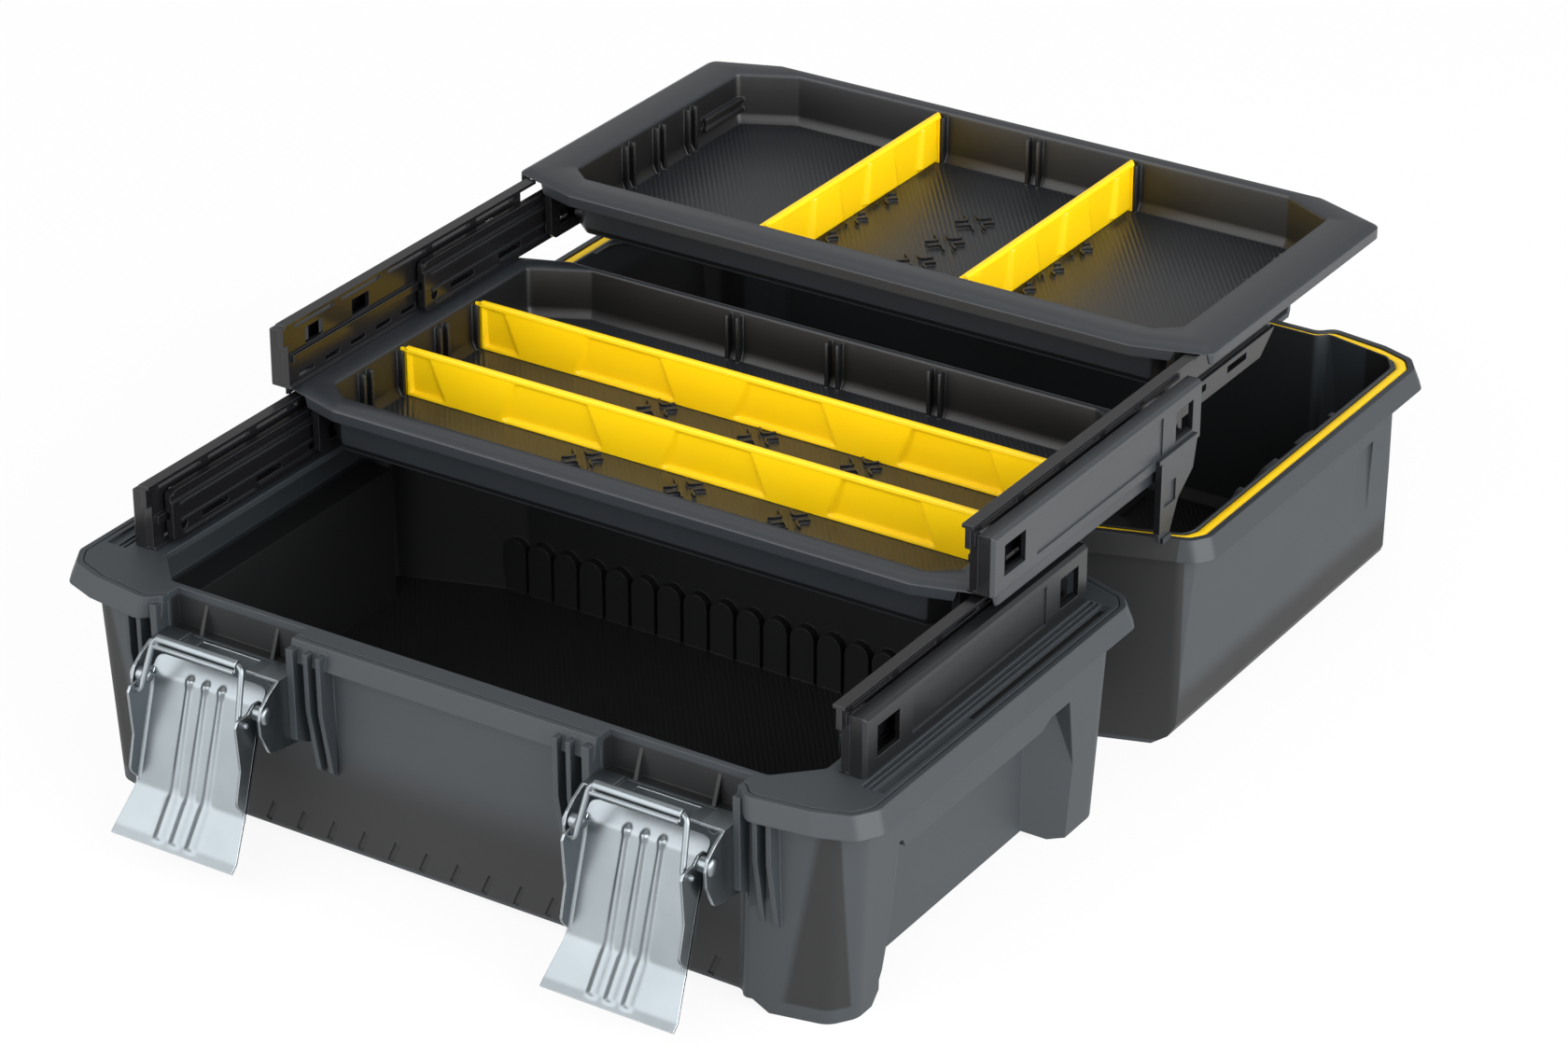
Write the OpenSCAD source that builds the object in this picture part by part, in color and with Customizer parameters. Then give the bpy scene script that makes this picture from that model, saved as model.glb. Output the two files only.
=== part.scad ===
// Cantilever tool box: a deep tub, a lid that lies open flat behind it, and
// two trays that ride rearward on telescopic slides.  The floor is z = 0,
// x runs across the front and y runs from the latches to the hinge.

/* [Shell] */
// width across the two rims
rim_w = 450; // [446:1:454]
// height of the tub, floor to rim
tub_h = 117; // [116:0.5:118]
// height of the lid above its rim
lid_h = 116.8; // [116:0.2:117]
// wall of the tub and the lid
wall = 2.8; // [2.4:0.2:3.2]

/* [Trays] */
// width across a tray's flange
tray_w = 408; // [400:2:408]
// depth of a tray, front to rear
tray_d = 207; // [200:1:208]
// wall of a tray
tray_wall = 2.4; // [2:0.2:2.8]
// where the middle tray's front stands with the box open
mid_front = 6; // [2:1:8]
// where the upper tray's front stands with the box open
top_front = 209; // [204:1:212]
// thickness of a divider
divider_t = 1.8; // [1.4:0.2:2]

/* [Slides] */
// length of a rail cover
rail_l = 197; // [190:1:198]
// height of a rail cover
rail_h = 30.5; // [29:0.5:31]
// outer face of a rail cover, from the middle
rail_x = 206.5; // [205:0.5:207]
// how far the lower bars stand out of their rails
low_bar_out = 8; // [4:1:12]
// how far the upper bars stand out of their rails
high_bar_out = 104; // [96:2:108]

/* [Latches] */
// centre of each latch, from the middle
latch_x = 123.6; // [122:0.2:125]
// lean of the bail back towards the tub with the latch hanging
bail_lean = 19; // [18:0.5:20]
// diameter of the bail wire
wire_d = 3; // [2.6:0.2:3.2]

/* [Handle] */
// length of the carrying handle
handle_l = 172; // [150:2:180]
// thickness of the carrying handle
handle_t = 10; // [8:0.5:10]

/* [Hidden] */
// distance from the middle of the tub back to the middle of the open box
open_middle = 128.28;

slate = [0.30, 0.31, 0.33];
coal = [0.16, 0.16, 0.18];
ash = [0.42, 0.43, 0.45];
yellow = [1.00, 0.78, 0.02];
zinc = [0.74, 0.76, 0.78];

hw = rim_w / 2;
hinge_y = 146;
low_z = tub_h;                  // level that the lower rails stand on
mid_z = low_z + 41.4;           // top of the middle tray's flange
top_z = mid_z + 39.6;           // top of the upper tray's flange
base_rail_y = -99;
mid_rail_y = mid_front + 4;
track_x = 194;                  // inner face of a track's web
bar_x = 187.7;                  // inner face of a slide bar
front_wall = -128.5;            // outer face of the tub's front wall
floor_z = 8.8;                  // top of the tub's floor
pivot = [-153.9, 86.1];         // lever pivot: y, z
bail_at = pivot + [-9.3, -2.6]; // bail hole, lever hanging
bail_len = 26.55;
e = 0.01;

// ---- outlines -------------------------------------------------------------

function unit(v) = v / norm(v);

// a polygon moved in by d, edge by edge
function inset(p, d) = [for (i = [0:len(p) - 1]) let (
    a = p[(i + len(p) - 1) % len(p)], b = p[i], c = p[(i + 1) % len(p)],
    u = unit(b - a), v = unit(c - b), nu = [-u.y, u.x], nv = [-v.y, v.x])
  b + (nu + nv) * d / (1 + nu * nv)];

// a polygon with every corner rounded to radius r in n steps
function soft(p, r, n = 4) = [for (i = [0:len(p) - 1]) let (
    a = p[(i + len(p) - 1) % len(p)], b = p[i], c = p[(i + 1) % len(p)],
    u = unit(b - a), v = unit(c - b), turn = acos(min(1, max(-1, u * v))),
    k = min(r * tan(turn / 2), 0.45 * norm(b - a), 0.45 * norm(c - b)))
  for (t = [0:n]) let (s = t / n)
  (1 - s) * (1 - s) * (b - u * k) + 2 * s * (1 - s) * b + s * s * (b + v * k)];

// the rim seen from above: bulging front corners, long shallow rear chamfers
rim = [
  [168, -139], [200, -134.5], [hw - 7, -128], [hw, -117], [hw, 104], [hw - 6, 113],
  [142, 139.5], [-142, 139.5], [6 - hw, 113], [-hw, 104], [-hw, -117], [7 - hw, -128],
  [-200, -134.5], [-168, -139], [-162, -132], [162, -132]
];

// the walls below the rim: flat front, bulging front corners
walls = [
  [163, front_wall], [167, -134], [208, -125.5], [216.5, -113], [217, 103],
  [213.5, 110.5], [141, 135], [-141, 135], [-213.5, 110.5], [-217, 103], [-216.5, -113],
  [-208, -125.5], [-167, -134], [-163, front_wall]
];

function ring_in(d) = soft(inset(rim, d), 8 - min(d, 6) / 2);

// the hole in the shelf that the rails stand on
mouth = [
  [168, -118], [186.8, -99], [186.8, 118], [140, 127],
  [-140, 127], [-186.8, 118], [-186.8, -99], [-168, -118]
];

module plate(p, z, t) {
  translate([0, 0, z]) linear_extrude(t) polygon(p);
}

// prism of a y, z profile between two x values
module along_x(p, x0, x1) {
  translate([x0, 0, 0]) rotate([90, 0, 90]) linear_extrude(x1 - x0) polygon(p);
}

module box(x0, x1, y0, y1, z0, z1) {
  translate([x0, y0, z0]) cube([x1 - x0, y1 - y0, z1 - z0]);
}

module rod(x0, x1, y, z, r, n = 32) {
  translate([x0, y, z]) rotate([0, 90, 0]) cylinder(r = r, h = x1 - x0, $fn = n);
}

// the same thing on both sides, or on one side only (side = 1 right, -1 left)
module both() {
  children();
  mirror([1, 0, 0]) children();
}

module on_side(side) {
  if (side > 0) children();
  else mirror([1, 0, 0]) children();
}

// the lid is drawn shut and then laid open about the hinge line
module laid_open() {
  translate([0, hinge_y, tub_h]) rotate([180, 0, 0]) translate([0, -hinge_y, -tub_h]) children();
}

// ---- tub --------------------------------------------------------------------

// flared lip round a rim, its narrow edge at z and its wide edge below or above
module skirt(z, up) {
  translate([0, 0, z]) mirror([0, 0, up ? 0 : 1]) linear_extrude(11, scale = 1.017)
    difference() {
      polygon(ring_in(0));
      polygon(ring_in(2.8));
    }
}

// pockets in the front rim over the latches, each with a back wall and a floor
module latch_pocket(grow) {
  both() box(latch_x - 38 - grow, latch_x + 38 + grow, grow > 0 ? front_wall + e : -150,
             -121.2 + grow, 98 - grow, grow > 0 ? tub_h - 1 : tub_h + 1);
}

// where the fins beside a latch stand, from the latch's middle
fin_at = [-56.9, -49.7, 49.7, 56.9];

// upright fins that taper to a point, beside each latch
module fins() {
  both() for (x = fin_at) translate([latch_x + x, 0, 0]) along_x([
    [front_wall + 1, 114], [-137.9, 114], [-137.4, 84], [-131, 50], [front_wall + 1, 47]],
    -1.2, 1.2);
}

// slots that set the outer fins off from the corner column
module fin_slots() {
  both() for (x = [42.1, 50.9]) along_x([[-129.5, 62], [-134.5, 47], [-150, 47], [-150, 105.9],
    [-129.5, 105.9]], latch_x + x, latch_x + x + (x > 50 ? 4.8 : 6.4));
}

// sunk panel in each side, its floor upright and its ends slanted
module side_recess() {
  intersection() {
    along_x([[-99, -1], [-91, 16], [-86, 40], [-83, 80], [-80, 80], [-77, 75], [45, 75],
             [52, 79], [70, 79], [80, 33], [81, 14], [78, -1]], 194, 236);
    translate([0, 0, -2]) linear_extrude(90)
      polygon([[195, -76], [195, 62], [217, 82], [236, 98], [236, -117], [217, -99]]);
  }
}

// ribs that stand against the rear wall, each with an arched top
module rear_ribs() {
  for (i = [0:20]) translate([-160 + i * 16, 0, 0]) {
    box(-7, 7, 124.4, 136, 7, 32);
    translate([0, 136, 32]) rotate([90, 0, 0]) cylinder(r = 7, h = 11.6, $fn = 32);
  }
}

// the space under the tub, between its four corner feet
module underside() {
  translate([0, 200, 0]) rotate([90, 0, 0]) linear_extrude(400)
    polygon([[-176, -1], [-167, 6], [167, 6], [176, -1]]);
  along_x([[-99, -1], [-93, 6], [62, 6], [72, -1]], -240, 240);
}

// upright strips either side of each latch, down from the rim
module pilasters() {
  both() for (x = [latch_x - 42.3, latch_x + 38.4])
    along_x([[front_wall + 2, 114], [-137.7, 114], [-137.2, 66], [front_wall + 2, 60]], x, x + 3.9);
}

module base_tub() {
  color(slate) difference() {
    union() {
      difference() {
        union() {
          linear_extrude(113.5, scale = 1.028) polygon(soft(0.973 * walls, 12, 8));
          fins();
          pilasters();
        }
        difference() {
          translate([0, 0, floor_z]) linear_extrude(tub_h - floor_z, scale = 1.026)
            polygon(soft(inset(0.975 * walls, 3), 9));
          both() box(191.6, 235, -103, 86, 0, 83);
          rear_ribs();
          latch_pocket(2.6);
        }
        both() side_recess();
        fin_slots();
        underside();
        // slanted notches along the front bottom edge
        for (i = [0:16]) translate([-144 + i * 18, front_wall - 0.6, 13.6]) rotate([0, 24, 0])
          cube([3.2, 9, 12], center = true);
      }
      difference() {
        plate(ring_in(0), tub_h - 3.6, 3.6);
        plate(soft(mouth, 5), tub_h - 5, 6);
        // bead groove round the rim
        translate([0, 0, tub_h - 0.9]) linear_extrude(1) difference() {
          polygon(ring_in(2.6));
          polygon(ring_in(3.6));
        }
        // sunk channel outside the rails, deeper along its outer edge
        both() box(207.6, 219, -104, 100, tub_h - 1.6, tub_h + 1);
        both() box(214.8, 218.6, -24, 97, tub_h - 5, tub_h + 1);
      }
      // two long thin ridges in each channel
      both() for (x = [209.6, 212.6]) box(x, x + 1, -104, 100, tub_h - 2, tub_h - 0.3);
      skirt(tub_h, false);
    }
    latch_pocket(0);
    // holes for the brackets' rivets
    both() for (x = [-24, 24], z = [68, 90]) translate([latch_x + x, -110, z])
      rotate([90, 0, 0]) cylinder(r = 3.03, h = 30, $fn = 24);
    // room for the hinge barrels
    both() box(64, 126, 139.4, 152, 90, tub_h + 1);
  }
  color(slate) {
    // small gussets that stiffen the back wall of each pocket
    both() for (x = [latch_x - 22, latch_x + 20]) along_x([
      [-119.5, 97], [-127, 97], [-121.2, 112], [-119.5, 112]], x, x + 2);
  }
}

// one hinge: barrels on the tub outside, barrel on the lid between them
module barrels(x0, x1, tub) {
  zl = tub ? tub_h - 3.6 : tub_h;
  difference() {
    union() {
      rod(x0, x1, hinge_y, tub_h, 4.4);
      box(x0, x1, 139.65, hinge_y, zl, zl + 3.6);
    }
    rod(x0 - 1, x1 + 1, hinge_y, tub_h, 2.06);
  }
}

module base_hinge_barrels() {
  color(slate) both() {
    barrels(68, 83.6, true);
    barrels(106.4, 122, true);
  }
}

module lid_hinge_barrels() {
  color(slate) laid_open() both() barrels(84, 106, false);
}

module hinge_pins() {
  color(zinc) both() rod(67, 123, hinge_y, tub_h, 2);
}

// ---- slides -------------------------------------------------------------------

// outer rail cover: a channel open inwards, two windows and a sunk panel
module rail_cover(side, y, z) {
  color(slate) on_side(side) difference() {
    along_x([[y, z], [y + rail_l, z], [y + rail_l, z + rail_h], [y, z + rail_h]],
            rail_x - 8, rail_x);
    box(rail_x - 9, rail_x - 2.6, y + 2.4, y + rail_l + 1, z + 3, z + rail_h - 3);
    for (w = [[10, 29], [rail_l - 25, rail_l - 8]])
      box(rail_x - 4, rail_x + 1, y + w[0], y + w[1], z + 7, z + 23);
    box(rail_x - 0.8, rail_x + 1, y + 40, y + rail_l - 38, z + 5, z + rail_h - 5);
    // chamfered top edge
    translate([rail_x, 0, z + rail_h]) rotate([0, 45, 0])
      cube([2.4, 3 * rail_l, 2.4], center = true);
    // rounded front corner
    translate([rail_x, y, z]) rotate([0, 0, 45]) cube([2.4, 2.4, 3 * rail_h], center = true);
  }
}

// inner track: a slotted web under a T-shaped top, with the key the bar runs on
module rail_track(side, y, z) {
  top = z + 36.2;
  color(coal) on_side(side) {
    difference() {
      union() {
        box(track_x, track_x + 2.4, y, y + rail_l, z, top - 1);
        box(track_x - 2.2, track_x + 3.8, y - 4, y + rail_l + 11, top - 1.8, top);
        box(track_x - 0.4, track_x + 2.4, y - 4, y + 2, top - 12, top - 1);
        box(track_x + 2, rail_x - 8.1, y, y + 2.4, z + 1.8, z + rail_h);
        box(track_x - 2, track_x + e, y + 2, y + rail_l - 2, z + 14, z + 18);
        box(track_x - 1.2, track_x + 4.4, y, y + rail_l, z, z + 1.4);
      }
      // long slots under the T top, square windows and clip slots below
      for (i = [0:4]) box(track_x - 5, track_x + 4, y + 6 + i * 38, y + 38 + i * 38,
                          z + 31, z + 33.8);
      for (i = [0, 1, 3, 4]) box(track_x - 0.6, track_x + 4, y + 14 + i * 38,
                                 y + 28 + i * 38, z + 19.4, z + 28);
      for (i = [0:8]) box(track_x - 2, track_x + 4, y + 8 + i * 21, y + 20 + i * 21,
                          z + 4, z + 6.4);
    }
  }
}

// floating slide bar between a track and the runner of the tray above
module slide_bar(side, y, z) {
  h0 = z + 2;
  h1 = z + 29.5;
  color(ash) on_side(side) difference() {
    union() {
      along_x(soft([[y, h0], [y + rail_l - 14, h0], [y + rail_l, h0 + 11],
                    [y + rail_l, h1], [y, h1]], 4), bar_x, bar_x + 4.2);
      // ridges on the inner face and the jogged ledge at the foot
      for (r = [11.5, 20.5]) box(bar_x - 1, bar_x + e, y + 6, y + rail_l - 6, z + r, z + r + 1.6);
      box(bar_x - 1.2, bar_x + e, y + 8, y + 62, z + 4, z + 5.4);
      box(bar_x - 1.2, bar_x + e, y + 66, y + rail_l - 20, z + 5.4, z + 6.8);
    }
    // groove for the track's key
    box(bar_x + 1.9, bar_x + 6, y - 1, y + rail_l + 1, z + 13.7, z + 18.3);
    // groove for the runner's key
    box(bar_x - 0.1, bar_x + 1.2, y - 1, y + rail_l + 1, z + 23.7, z + 27.3);
    // windows along the foot and the round hole at the front end
    for (i = [0:3]) box(bar_x - 2, bar_x + 6, y + 22 + i * 42, y + 42 + i * 42, z + 7.4, z + 11);
    rod(bar_x - 2, bar_x + 6, y + 8, z + 9.4, 2.6, 24);
  }
}

// runner that hangs from a tray beside its bin and holds the bar
module runner(side, y, z, ceiling) {
  len = 108;
  color(coal) on_side(side) difference() {
    union() {
      along_x([[y + 6, ceiling], [y + 6, z + 8], [y + 10, z + 5], [y + len - 12, z + 5],
               [y + len, z + 18], [y + len, ceiling]], 181.7, 185.4);
      box(185.3, bar_x + 0.9, y + 8, y + len - 6, z + 24, z + 27);
    }
    for (i = [0:2]) box(180, 186, y + 14 + i * 30, y + 34 + i * 30, z + 11, z + 19);
  }
}

// ---- trays --------------------------------------------------------------------

// flange outline of a tray with its front at y = 0
flange = [
  [tray_w / 2 - 39, 0], [tray_w / 2, 11.3], [tray_w / 2, tray_d - 15],
  [tray_w / 2 - 39, tray_d], [39 - tray_w / 2, tray_d], [-tray_w / 2, tray_d - 15],
  [-tray_w / 2, 11.3], [39 - tray_w / 2, 0]
];

// the bin: straight front, ramped rear; d moves every wall in
module bin(yf, yr, deep, d) {
  intersection() {
    along_x([[yf + d, 1], [yf + d, d - deep], [yr - 26 - d / 3, d - deep],
             [yr - d, 16 - deep + d / 3], [yr - d, 1]], -190, 190);
    plate(soft(inset([[168, yf], [181.6, yf + 11], [181.6, yr - 16], [150, yr],
                      [-150, yr], [-181.6, yr - 16], [-181.6, yf + 11], [-168, yf]], d), 4),
          -40, 42);
  }
}

// a pair of ribs that holds a divider's edge; dir turns it to the wall
module rib_pair(x, y, turn, low) {
  translate([x, y, 0]) rotate([0, 0, turn]) for (s = [-1, 1])
    translate([s * 2.1 - 0.6, -0.1, low]) cube([1.2, 2, -1.2 - low]);
}

// small arched lugs on a tray floor, four round each point
module lugs(points, z) {
  arch = [[-3, 0], [-1.8, 2.4], [1.8, 2.4], [3, 0], [2, 0], [1.1, 1.4], [-1.1, 1.4], [-2, 0]];
  translate([0, 0, z]) linear_extrude(1.5) for (p = points, s = [-1, 1], t = [0, 1])
    translate([p.x + s * 5.4, p.y + (t == 0 ? 3.4 : -3.4)]) mirror([0, t]) polygon(arch);
}

module tray(yf, yr, deep) {
  difference() {
    union() {
      translate([0, 0, -2.4]) linear_extrude(2.4) polygon(soft(flange, 5));
      // skirt under the flange, open where the tracks pass
      difference() {
        translate([0, 0, -8.2]) linear_extrude(6) difference() {
          polygon(soft(flange, 5));
          polygon(soft(inset(flange, 2.1), 4));
        }
        both() box(186.6, 201.8, -5, tray_d + 5, -9, -2.4);
        box(-186, 186, tray_d - 8, tray_d + 5, -9, -5.6);
      }
      bin(yf, yr, deep, 0);
    }
    bin(yf, yr, deep, tray_wall);
    // shadow line on the flange's rim
    translate([0, 0, -3.2]) linear_extrude(0.5) difference() {
      polygon(soft(inset(flange, -1), 5));
      polygon(soft(inset(flange, 0.5), 5));
    }
  }
}

module middle_tray() {
  deep = 29.4;
  yf = 9.6;
  yr = 202.5;
  color(slate) translate([0, mid_front, mid_z]) {
    tray(yf, yr, deep);
    for (x = [-1, 1], y = [44, 76, 108, 140])
      rib_pair(x * (181.6 - tray_wall), y, x * 90, tray_wall - deep);
    for (x = [-136:34:136]) rib_pair(x, yr - tray_wall, 180, 18 - deep);
    lugs([for (x = [-120:60:120], y = [66, 130]) [x, y]], tray_wall - deep - e);
  }
}

module top_tray() {
  deep = 31;
  yf = 16.6;
  yr = 199;
  color(slate) translate([0, top_front, top_z]) {
    tray(yf, yr, deep);
    for (x = [-116, -59, 0, 59, 116]) {
      rib_pair(x, yf + tray_wall, 0, tray_wall - deep);
      rib_pair(x, yr - tray_wall, 180, 18 - deep);
    }
    for (x = [-1, 1], y = [56, 92, 128]) rib_pair(x * (181.6 - tray_wall), y, x * 90, tray_wall - deep);
    lugs([for (x = [-116, -59, 0, 59, 116], y = [74, 103, 133]) [x, y]], tray_wall - deep - e);
  }
}

// leg at the rear of each middle rail, standing just clear of the rims
module rail_leg(side) {
  y = mid_rail_y + rail_l - 44;
  foot_z = tub_h + 1.4;
  color(ash) on_side(side) difference() {
    union() {
      along_x([[y, mid_z + 5], [y, foot_z + 9], [y + 3, foot_z], [y + 11, foot_z],
               [y + 15, foot_z + 8], [y + 20, foot_z + 18], [y + 34, foot_z + 28],
               [y + 38, mid_z + 5]], rail_x, rail_x + 2.2);
      box(rail_x, rail_x + 4, y + 3, y + 11, foot_z, foot_z + 3);
      box(rail_x, rail_x + 3.4, y, y + 1.6, foot_z + 6, mid_z + 3);
    }
    box(rail_x + 1, rail_x + 5, y + 6, y + 17, foot_z + 18, foot_z + 30);
  }
}

// divider seen from the side: length l, height h, lip on top, and tapering panels pressed
// from one face out of the other; ramp gives it a sloping rear foot
module divider(l, h, ramp, first, step) {
  t = divider_t;
  press = 0.7;
  rotate([90, 0, 90]) difference() {
    union() {
      translate([0, 0, -t / 2]) linear_extrude(t) outline(l, h, ramp);
      linear_extrude(t / 2 + press) panels(l, h, ramp, first, step);
    }
    translate([0, 0, -t / 2 - 1]) linear_extrude(1 + press) panels(l, h, ramp, first, step);
  }
  // lip along the top, and the stop beads beside each wall
  box(-t / 2 - 1.4, t / 2 + 1.4, 3.4, l - 3.4, -2, 0);
  for (y = [3.2, l - 4.8])
    box(-t / 2 - 1, t / 2 + 1, y, y + 1.6, (ramp && y > 9) ? 20 - h : -h, -0.6);
}

// the divider's side
module outline(l, h, ramp) {
  polygon(ramp ? [[0.4, -0.6], [0.4, -h], [l - 26.6, -h], [l - 0.8, 15.4 - h], [l - 0.8, -0.6]]
               : [[0.4, -0.6], [0.4, -h], [l - 0.4, -h], [l - 0.4, -0.6]]);
}

// panels, narrow at the top and wide at the foot
module panels(l, h, ramp, first, step) {
  intersection() {
    polygon(ramp ? [[6, -3.6], [6, 3.6 - h], [l - 28, 3.6 - h], [l - 6, 16 - h], [l - 6, -3.6]]
                 : [[6, -3.6], [6, 3.6 - h], [l - 6, 3.6 - h], [l - 6, -3.6]]);
    for (c = [first:step:l + step / 2])
      polygon([[c - 0.21 * step, 0], [c + 0.21 * step, 0], [c + 0.31 * step, -h], [c - 0.31 * step, -h]]);
  }
}

module middle_divider(y) {
  color(yellow) translate([181.6 - tray_wall - 0.1, mid_front + y, mid_z - 0.6]) rotate([0, 0, 90])
    divider(2 * (181.6 - tray_wall) - 0.2, 29.4 - tray_wall - 0.9, false, -20.3, 95.5);
}

module top_divider(x) {
  color(yellow) translate([x, top_front + 16.6 + tray_wall + 0.1, top_z - 0.6])
    divider(199 - 16.6 - 2 * tray_wall - 0.2, 31 - tray_wall - 0.9, true, 8, 54);
}

// ---- lid ----------------------------------------------------------------------

// the lid's walls from the rim up, leaning in a little, with two bevels round the top edge
module lid_body(d, z, h) {
  half_w = 217.4 - d;
  front = -133.3 + d;
  back = 135.3 - d;
  lean = [[0, 0], [4.3, h - 10.8], [7.6, h - 4.8], [15.2, h + 0.01]];
  intersection() {
    plate(soft(inset(walls, d), 12 - d, 6), z, h);
    translate([0, 150, z]) rotate([90, 0, 0]) linear_extrude(300)
      polygon([for (e = lean) [half_w - e.x, e.y], for (k = [3:-1:0]) [lean[k].x - half_w, lean[k].y]]);
    along_x([for (e = lean) [front + 0.62 * e.x, z + e.y],
             for (k = [3:-1:0]) [back - 0.62 * lean[k].x, z + lean[k].y]], -230, 230);
  }
}

module handle_well(d) {
  plate(soft([[d - 92, -62 + d], [92 - d, -62 + d], [92 - d, -16 - d], [d - 92, -16 - d]], 6),
        tub_h + lid_h - 13 - d, 13 + d + 1);
}

// bowed ribs inside the lid's ends, proud of the rim at mid length
module lid_guide() {
  both() for (k = [0, 1]) intersection() {
    rotate([90, 0, 90]) translate([2, 239 - k * 9, 211.4]) difference() {
      cylinder(r = 124, h = 5, $fn = 144);
      translate([0, 0, -1]) cylinder(r = 122.2, h = 7, $fn = 144);
    }
    box(205, 214.6, -66, 76, tub_h + 0.2, 136);
  }
}

module lid_shell() {
  color(slate) laid_open() {
    difference() {
      union() {
        lid_body(0, tub_h, lid_h);
        plate(ring_in(0), tub_h, 3.6);
        skirt(tub_h, true);
        // catches that reach out over the rim and down to the latch hooks
        both() along_x([[-130, tub_h + 0.3], [-143.6, tub_h + 0.3], [-144.4, 114],
          [-144.4, 98.7], [-150.3, 98.7], [-150.3, 100.4], [-146.9, 100.6], [-146.9, 117],
          [-145.4, tub_h + 3.4], [-130, tub_h + 3.6]], latch_x - 14, latch_x + 14);
      }
      difference() {
        lid_body(wall, tub_h - 1.1, lid_h - 2.1);
        handle_well(-2.6);
        // ribs that stiffen the lid's top, low enough for the trays to pass
        for (x = [-150, -75, 75, 150]) box(x - 1, x + 1, -110, -70, tub_h + lid_h - 6, 260);
      }
      handle_well(0);
      plate(soft(inset(walls, wall + 0.05), 12 - wall, 6), tub_h - 1.3, 9);
      // groove for the seal
      translate([0, 0, tub_h - 1]) linear_extrude(3.3) seal_ring(0.2);
      // sunk strips down the ends, beside the lid's front corners
      both() box(214.4, 230, -92, -74, 150, 228);
      // shallow fields in the top, either side of the handle
      both() plate(soft([[112, -96], [188, -96], [188, 100], [112, 100]], 10),
                   tub_h + lid_h - 0.8, 2);
      plate(soft([[-96, 2], [96, 2], [96, 100], [-96, 100]], 10), tub_h + lid_h - 0.8, 2);
      both() box(64, 126, 139.6, 150, tub_h - 1, 140);
    }
    lid_guide();
  }
}

// plan of the seal, narrowed where the lid's walls come close to its rim
module seal_ring(gap) {
  difference() {
    polygon(ring_in(3.4 - gap));
    polygon(ring_in(9.4 + gap));
    polygon(soft(inset(walls, wall - 0.9 + gap), 6));
  }
}

module lid_seal() {
  color(yellow) laid_open() translate([0, 0, tub_h + 0.3]) linear_extrude(1.9) seal_ring(0);
}

handle_y = -24;
handle_z = tub_h + lid_h - 7;

module carry_handle() {
  hl = handle_l / 2;
  color(coal) laid_open() difference() {
    union() {
      translate([0, 0, handle_z - handle_t / 2]) linear_extrude(handle_t) difference() {
        polygon(soft([[-hl, -58], [hl, -58], [hl, -19], [-hl, -19]], 6));
        polygon(soft([[14 - hl, -44], [hl - 14, -44], [hl - 14, 0], [14 - hl, 0]], 8));
      }
    }
    both() rod(hl - 16, hl + 1, handle_y, handle_z, 2.56);
    for (i = [-5:5]) box(i * 11 - 1, i * 11 + 1, -60, -57, handle_z - 10, handle_z + 10);
  }
}

module handle_pins() {
  hl = handle_l / 2;
  color(coal) laid_open() both() rod(hl - 12, 92, handle_y, handle_z, 2.5);
}

// ---- latches --------------------------------------------------------------------

module at_latch(side) {
  translate([side * latch_x, 0, 0]) children();
}

// sheet bracket on the tub: back plate, two ears and their folded top tabs
module bracket(side) {
  face = front_wall - 0.1;
  ear = [[face, 61], [-147, 63.5], [-152.5, 65], [-158.6, 77], [-159.2, 85], [-157, 91],
         [-151, 95.7], [-143.7, 99.6], [face, 99.6]];
  color(zinc) at_latch(side) difference() {
    union() {
      box(-38.3, 38.3, face - 1.4, face, 61, 97.6);
      for (x = [-38.3, 36.9]) along_x(soft(ear, 3), x, x + 1.4);
      for (s = [-1, 1]) {
        box(min(s * 17, s * 37), max(s * 17, s * 37), -141, face, 96.4, 97.8);
        box(min(s * 25, s * 37.6), max(s * 25, s * 37.6), -143.7, face, 98.2, 99.6);
        box(min(s * 25, s * 26.4), max(s * 25, s * 26.4), -141, face, 97, 99.6);
      }
      // rivets into the wall of the tub
      for (x = [-24, 24], z = [68, 90]) translate([x, face - 3, z]) rotate([-90, 0, 0])
        cylinder(r = 3, h = 8, $fn = 24);
    }
    rod(-40, 40, pivot.x, pivot.y, 2.56);
  }
}

module lever_rivets(side) {
  color(zinc) at_latch(side) both() {
    rod(30, 39.2, pivot.x, pivot.y, 2.5);
    rod(38.6, 40.2, pivot.x, pivot.y, 4.6);
    rod(32.4, 36.6, pivot.x, pivot.y, 4);
    rod(29.6, 31, pivot.x, pivot.y, 2.9);
  }
}

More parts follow.
